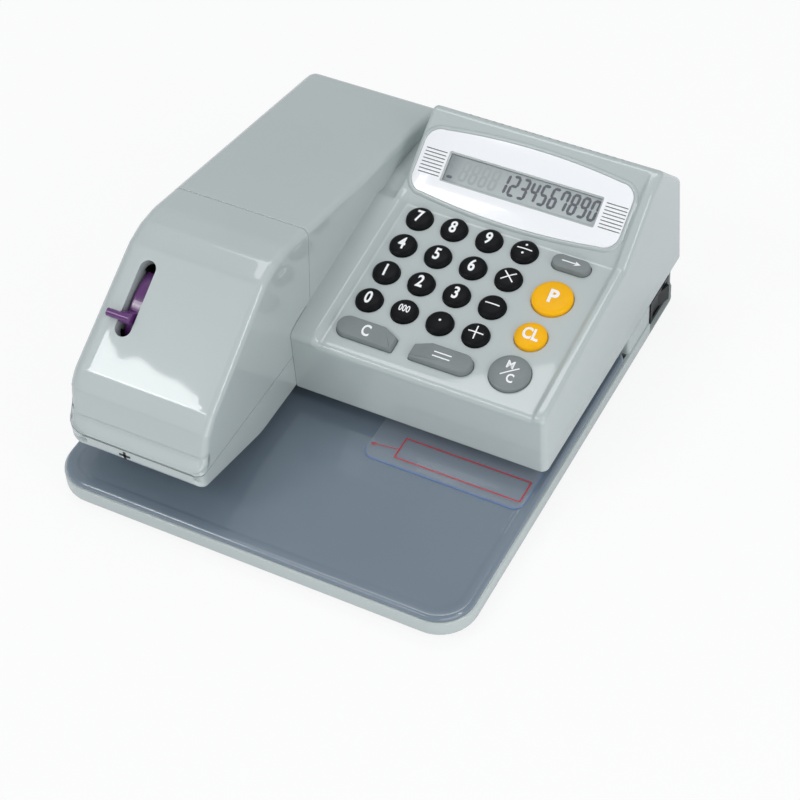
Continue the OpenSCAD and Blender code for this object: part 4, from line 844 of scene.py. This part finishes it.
STROKES = {
    0: "abcdef", 1: "bc", 2: "abged", 3: "abgcd", 4: "fgbc",
    5: "afgcd", 6: "afgedc", 7: "fabc", 8: "abcdefg", 9: "gfabcd",
}
BARS = {
    "a": (0, 5.7, True), "d": (0, -5.7, True), "g": (0, 0, True), "b": (1.75, 2.85, False),
    "c": (1.75, -2.85, False), "f": (-1.75, 2.85, False), "e": (-1.75, -2.85, False),
}
BAR_HALF, DIGIT_SLANT, CRYSTAL_H, DIGIT_S = 0.85, 0.1, -0.86, 28.2


def digit(number, x, s):
    """Bars of one digit: each a flat six-sided stroke, slanted with the whole digit. Without a number,
    the middle bar alone."""
    parts = []
    for key in STROKES.get(number, "g"):
        bar_x, bar_s, lying = BARS[key]
        long = 2.0 if lying else 2.85
        upper = [(-long, 0), (-long + BAR_HALF, BAR_HALF), (long - BAR_HALF, BAR_HALF)]
        bar = np.array(upper + [(-a, -b) for a, b in upper])
        bar = (bar if lying else bar[:, ::-1]) + [bar_x, bar_s]
        bar[:, 0] += bar[:, 1] * DIGIT_SLANT
        parts.append((on_display(x + bar[:, 0], s + bar[:, 1], np.full(6, CRYSTAL_H)), [list(range(6))]))
    return parts


digit_x = 93.5 - 6.19 * np.arange(14)
shown_digits = (0, 9, 8, 7, 6, 5, 4, 3, 2, 1)
shown = [bar for x, number in zip(digit_x, shown_digits) for bar in digit(number, x, DIGIT_S)]
shown += digit(None, 5.0, 22.6)
ghosts = [bar for x in digit_x[len(shown_digits):] for bar in digit(8, x, DIGIT_S)]
dark_crystal = Finish("dark_crystal", (52, 58, 72), Roughness=0.4, Specular_IOR_Level=0.1)
pale_crystal = Finish("pale_crystal", (160, 168, 168), Roughness=0.4, Specular_IOR_Level=0.1)
for crystal in (dark_crystal, pale_crystal):
    crystal.roughen(400.0, 0.1, 0.35)
piece("lcd_digits", shown, dark_crystal, "housing", tidy=False)
piece("lcd_ghost_digits", ghosts, pale_crystal, "housing", tidy=False)


# Keys. Each is moulded with a cap, a collar that holds it under the panel and
# a stem; the round caps are domed, the legends printed in white.
def key_finish(name, colour, rough, shine):
    """Moulded key plastic: satin, faintly grained, a little shinier in some random patches."""
    finish = Finish(name, colour, Specular_IOR_Level=shine, IOR=1.49)
    speck = finish.noise(1400.0)
    finish.set(
        Base_Color=finish.vary(finish.noise(60.0).step(0.3, 0.7), 0.94, 1.05),
        Roughness=finish.noise(35.0) * 0.16 + rough,
        Normal=finish.bump(speck, 0.00002, 0.3),
    )
    return finish


black_key = key_finish("black_key", (12, 13, 16), 0.34, 0.14)
grey_key = key_finish("grey_key", (132, 139, 139), 0.32, 0.25)
orange_key = key_finish("orange_key", (255, 187, 7), 0.3, 0.2)
white_ink = Finish("white_ink", (250, 251, 252), Roughness=0.45)
white_ink.roughen(300.0, 0.2, 0.35)

RISE, CROWN, INK_H = 3.5, 1.2, 0.07
STEM_R, STEM_H, COLLAR_LOW, COLLAR_HIGH = 2, -6.1, -4.3, -2.8


def cap_height(r, radius):
    """Dome of a round cap: an ellipse quarter from the cap's shoulder to its crown."""
    return RISE - CROWN * (1 - np.sqrt(np.clip(1 - (r / (radius - 0.8)) ** 2, 0, 1)))


def round_key(x, s, radius):
    """A key turned round its own axis from stem to crown."""
    shoulder = RISE - CROWN - 0.85
    t = np.radians(np.linspace(0, 90, 6))
    edge = np.column_stack([radius - 0.8 + 0.8 * np.cos(t), shoulder + 0.85 * np.sin(t)])
    top = (radius - 0.8) * np.cos(np.radians(np.linspace(4, 88, 12)))
    stem = [(STEM_R, STEM_H), (STEM_R, COLLAR_LOW)]
    collar = [(radius + 0.9, COLLAR_LOW), (radius + 0.9, COLLAR_HIGH), (radius, COLLAR_HIGH)]
    profile = np.vstack([stem, collar, edge[:-1], np.column_stack([top, cap_height(top, radius)])])
    a = np.linspace(0, 2 * np.pi, 56, endpoint=False)
    r, h = profile[:, :1], profile[:, 1:]
    return grid(on_panel(x + r * np.cos(a), s + r * np.sin(a), h + 0 * a), close_columns=True, ends=True)


def flat_key(x, s, line, out):
    """A key of another outline: its cap narrows a little and has a soft edge."""
    side = [(-0.9, COLLAR_LOW), (-0.9, COLLAR_HIGH), (0, COLLAR_HIGH), (0, 1.2), (0.25, 2.3)]
    turns = np.radians([0, 22, 45, 68, 90])
    edge = [(0.25 + 0.9 * (1 - math.cos(t)), 2.5 + 1.0 * math.sin(t)) for t in turns]
    ring = ringed(line, out, side + edge)
    body = grid(on_panel(x + ring[..., 0], s + ring[..., 1], ring[..., 2]), close_columns=True, ends=True)
    return [body, drum(STEM_R, STEM_H, COLLAR_LOW, moved(on_panel, x, s))]


key_look = {name: (black_key, "black_keys") for name in key_place}
key_look["key_print"] = key_look["key_clear"] = (orange_key, "orange_keys")
key_look["key_memory"] = (grey_key, "grey_keys")
for name, (x, s, radius) in key_place.items():
    finish, slot = key_look[name]
    piece("cap_" + name[4:], [round_key(x, s, radius)], finish, name, [name], 50)
for name, (x, s, flip) in wide_place.items():
    line, grown = wide_outline(flip), wide_outline(flip, 1.0)
    piece("cap_" + name[4:], flat_key(x, s, line, grown - line), grey_key, name, [name], 50)
pill = pill_outline()
arrow_cap = flat_key(SIDE_X, ARROW_S, pill, pill_outline(1.0) - pill)
piece("cap_arrow", arrow_cap, grey_key, "key_arrow", ["key_arrow"], 50)


CHOPS, CHOP_PITCH = 20, 0.6


def lettering(text, size, weight, slant=0.0, squeeze=1.0):
    """A line of plain letters as a flat mesh about its middle, in millimetres, chopped into small
    squares so that it can follow a dome."""
    curve = bpy.data.curves.new("letters", "FONT")
    curve.body, curve.size, curve.offset, curve.shear = text, size, weight, slant
    curve.align_x, curve.align_y, curve.resolution_u = "CENTER", "CENTER", 4
    made = bpy.data.objects.new("letters", curve)
    bpy.context.scene.collection.objects.link(made)
    bpy.context.view_layer.update()
    mesh = bpy.data.meshes.new_from_object(made.evaluated_get(bpy.context.evaluated_depsgraph_get()))
    work = bmesh.new()
    work.from_mesh(mesh)
    for i in range(-CHOPS, CHOPS + 1):
        for way in ((1, 0, 0), (0, 1, 0)):
            place = Vector(way) * i * CHOP_PITCH
            whole = [*work.verts, *work.edges, *work.faces]
            bmesh.ops.bisect_plane(work, geom=whole, plane_co=place, plane_no=way)
    work.to_mesh(mesh)
    work.free()
    co = np.zeros(len(mesh.vertices) * 3)
    mesh.vertices.foreach_get("co", co)
    faces = [list(f.vertices) for f in mesh.polygons]
    bpy.data.objects.remove(made)
    bpy.data.curves.remove(curve)
    flat = co.reshape(-1, 3)[:, :2]
    flat = (flat - (flat.max(0) + flat.min(0)) / 2) * [squeeze, 1]
    return flat, faces


def printed(flat, faces, x, s, radius, dx=0.0, ds=0.0):
    """Lays flat letters on a cap's dome, or on a flat cap where radius is None."""
    a, b = flat[:, 0] + dx, flat[:, 1] + ds
    h = cap_height(np.hypot(a, b), radius) if radius else np.full(len(a), RISE)
    return on_panel(x + a, s + b, h + INK_H), faces


def stroke(a, b, x, s, radius, width):
    """A thin printed line on a cap's dome, or on a flat cap where radius is None."""

    def on_cap(p, q, h):
        top = cap_height(np.hypot(p, q), radius) if radius else RISE
        return on_panel(x + p, s + q, top + INK_H + 0 * p)

    return strip(run(a, b, 9), width, on_cap)


def dot(dx, ds, x, s, radius, size):
    """A printed dot on a cap's dome."""
    t = np.linspace(0, 2 * np.pi, 14, endpoint=False)
    a, b = dx + size * np.cos(t), ds + size * np.sin(t)
    return on_panel(x + a, s + b, cap_height(np.hypot(a, b), radius) + INK_H), [list(range(14))]


# A legend is its text, size, weight, squeeze and place from the cap's middle;
# a sign is made of lines between two points, and of dots.
LEGEND_SLANT, SIGN_W, DOT_R = -0.1, 0.8, 0.75
legends = {f"key_{n}": [(str(n), 11.2, 0.3, 0.76, -0.3, 0.2)] for n in range(10)}
legends["key_000"] = [("000", 6.4, 0.13, 0.7, 0.0, 0.6)]
legends["key_print"] = [("P", 12.4, 0.42, 0.92, 0.5, 0.2)]
legends["key_clear"] = [("CL", 10.4, 0.36, 0.78, 0.3, 0.4)]
legends["key_memory"] = [("M", 7.4, 0.13, 0.86, -1.2, 4.2), ("C", 7.6, 0.22, 0.8, 2.2, -4.2)]
legends["key_c"] = [("C", 10.4, 0.26, 0.72, 0.0, 0.0)]
signs = {
    "key_minus": [((-4.4, 0.6), (4.4, 0.6))],
    "key_plus": [((-4.6, 0.5), (4.6, 0.5)), ((0.4, -4.1), (-0.5, 5.0))],
    "key_times": [((-3.6, -2.6), (3.6, 3.8)), ((-3.6, 3.8), (3.6, -2.6))],
    "key_divide": [((-4.6, 0.6), (4.6, 0.6))],
    "key_memory": [((-4.2, -3.6), (4.4, 3.4))],
    "key_equals": [((-5.4, -1.4), (5.2, -1.4)), ((-5.4, 1.4), (5.2, 1.4))],
}
points_of = {"key_point": [(0, 0.6)], "key_divide": [(0, 3.6), (0, -2.4)]}
flat_place = {name: (x, s, None) for name, (x, s, _) in wide_place.items()}
for name, (x, s, radius) in {**key_place, **flat_place}.items():
    marks = []
    for text, size, weight, squeeze, dx, ds in legends.get(name, []):
        flat, faces = lettering(text, size, weight, LEGEND_SLANT, squeeze)
        marks.append(printed(flat, faces, x, s, radius, dx, ds))
    marks += [stroke(a, b, x, s, radius, SIGN_W) for a, b in signs.get(name, [])]
    marks += [dot(*p, x, s, radius, DOT_R) for p in points_of.get(name, [])]
    piece("legend_" + name[4:], marks, white_ink, name, tidy=False)
arrow = [stroke((-5.6, 0.2), (3.4, 0.2), SIDE_X, ARROW_S, None, 0.75)]
tip = np.array([(2.0, 1.9), (5.8, 0.2), (2.0, -1.5), (3.0, 0.2)])
tip_points = on_panel(SIDE_X + tip[:, 0], ARROW_S + tip[:, 1], np.full(4, RISE + INK_H))
arrow.append((tip_points, [[0, 1, 3], [3, 1, 2]]))
piece("legend_arrow", arrow, white_ink, "key_arrow", tidy=False)


# Marks of the head: a plain word in low relief beside the slot, coloured lighter than the case as painted
# highlight on its raised letters, and the register cross on the front that shows where the first figure
# prints.
def on_front(a, b, h):
    """The tub's front, counted from the middle of the cross."""
    return np.stack([-78.3 + a, -140.56 + 0 * a, 45.6 + b], -1)


# Painted highlight: the word is a lighter grey than the case plastic, as if its raised letters caught the
# light.
relief_highlight = Finish("relief_highlight", (206, 212, 210), Roughness=0.35)
relief_highlight.roughen(200.0, 0.2, 0.3)
flat, faces = lettering("OFF", 4.6, 0.02, 0.0, 0.95)
word = on_face(-89.2 + flat[:, 0], 14.6 + flat[:, 1], np.full(len(flat), 0.06))
piece("slot_words", [(word, faces)], relief_highlight, "housing", tidy=False)
dark_ink = Finish("dark_ink", (44, 47, 50), Roughness=0.5)
dark_ink.roughen(300.0, 0.2, 0.4)
cross = [strip(run((-3.6, 0), (3.6, 0)), 1.8, on_front), strip(run((0, -3.0), (0, 3.0)), 1.8, on_front)]
piece("register_cross", cross, dark_ink, "housing", tidy=False)


# Everything else keeps its solid shape: the lever, switch, inlet, feet and the
# works inside get the finish of their own material. A plain finish is its
# colour, base values, least roughness and how far the roughness varies.
METAL = dict(Metallic=1.0)
plain = {
    "lever_plastic": ((96, 38, 112), dict(Coat_Weight=0.6, Coat_Roughness=0.06), 0.24, 0.1),
    "rubber": ((38, 38, 40), {}, 0.7, 0.2),
    "steel": ((196, 198, 202), METAL, 0.3, 0.2),
    "pad_rubber": ((156, 158, 160), {}, 0.55, 0.2),
    "iron": ((92, 92, 96), METAL, 0.5, 0.2),
    "black_plastic": ((15, 16, 18), dict(Coat_Weight=0.1, Coat_Roughness=0.2), 0.32, 0.16),
    "type_metal": ((124, 126, 130), METAL, 0.38, 0.2),
    "gear_plastic": ((232, 226, 208), {}, 0.4, 0.16),
    "motor_metal": ((168, 170, 174), METAL, 0.34, 0.16),
    "ink_felt": ((54, 30, 82), {}, 0.9, 0.1),
    "copper": ((196, 118, 70), METAL, 0.32, 0.2),
    "board": ((34, 104, 66), dict(Coat_Weight=0.4), 0.35, 0.16),
}
finishes = {
    "case_plastic": case_plastic, "deck_plastic": deck_plastic, "bezel_plastic": white_frame,
    "window": window, "lcd": cell, "black_keys": black_key, "grey_keys": grey_key, "orange_keys": orange_key,
}
for name, (colour, values, rough, spread) in plain.items():
    finish = Finish(name, colour, **values)
    patch = finish.noise(50.0, 3.0)
    finish.set(
        Base_Color=finish.vary(patch.step(0.3, 0.7), 0.93, 1.06),
        Roughness=patch * spread + rough,
        Normal=finish.bump(finish.noise(900.0), 0.00002, 0.3),
    )
    finishes[name] = finish
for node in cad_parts.values():
    first = node.data.materials[0] if node.data.materials else None
    used = first.name.split(".")[0] if first else ""
    if used in finishes:
        node.data.materials[0] = finishes[used].material
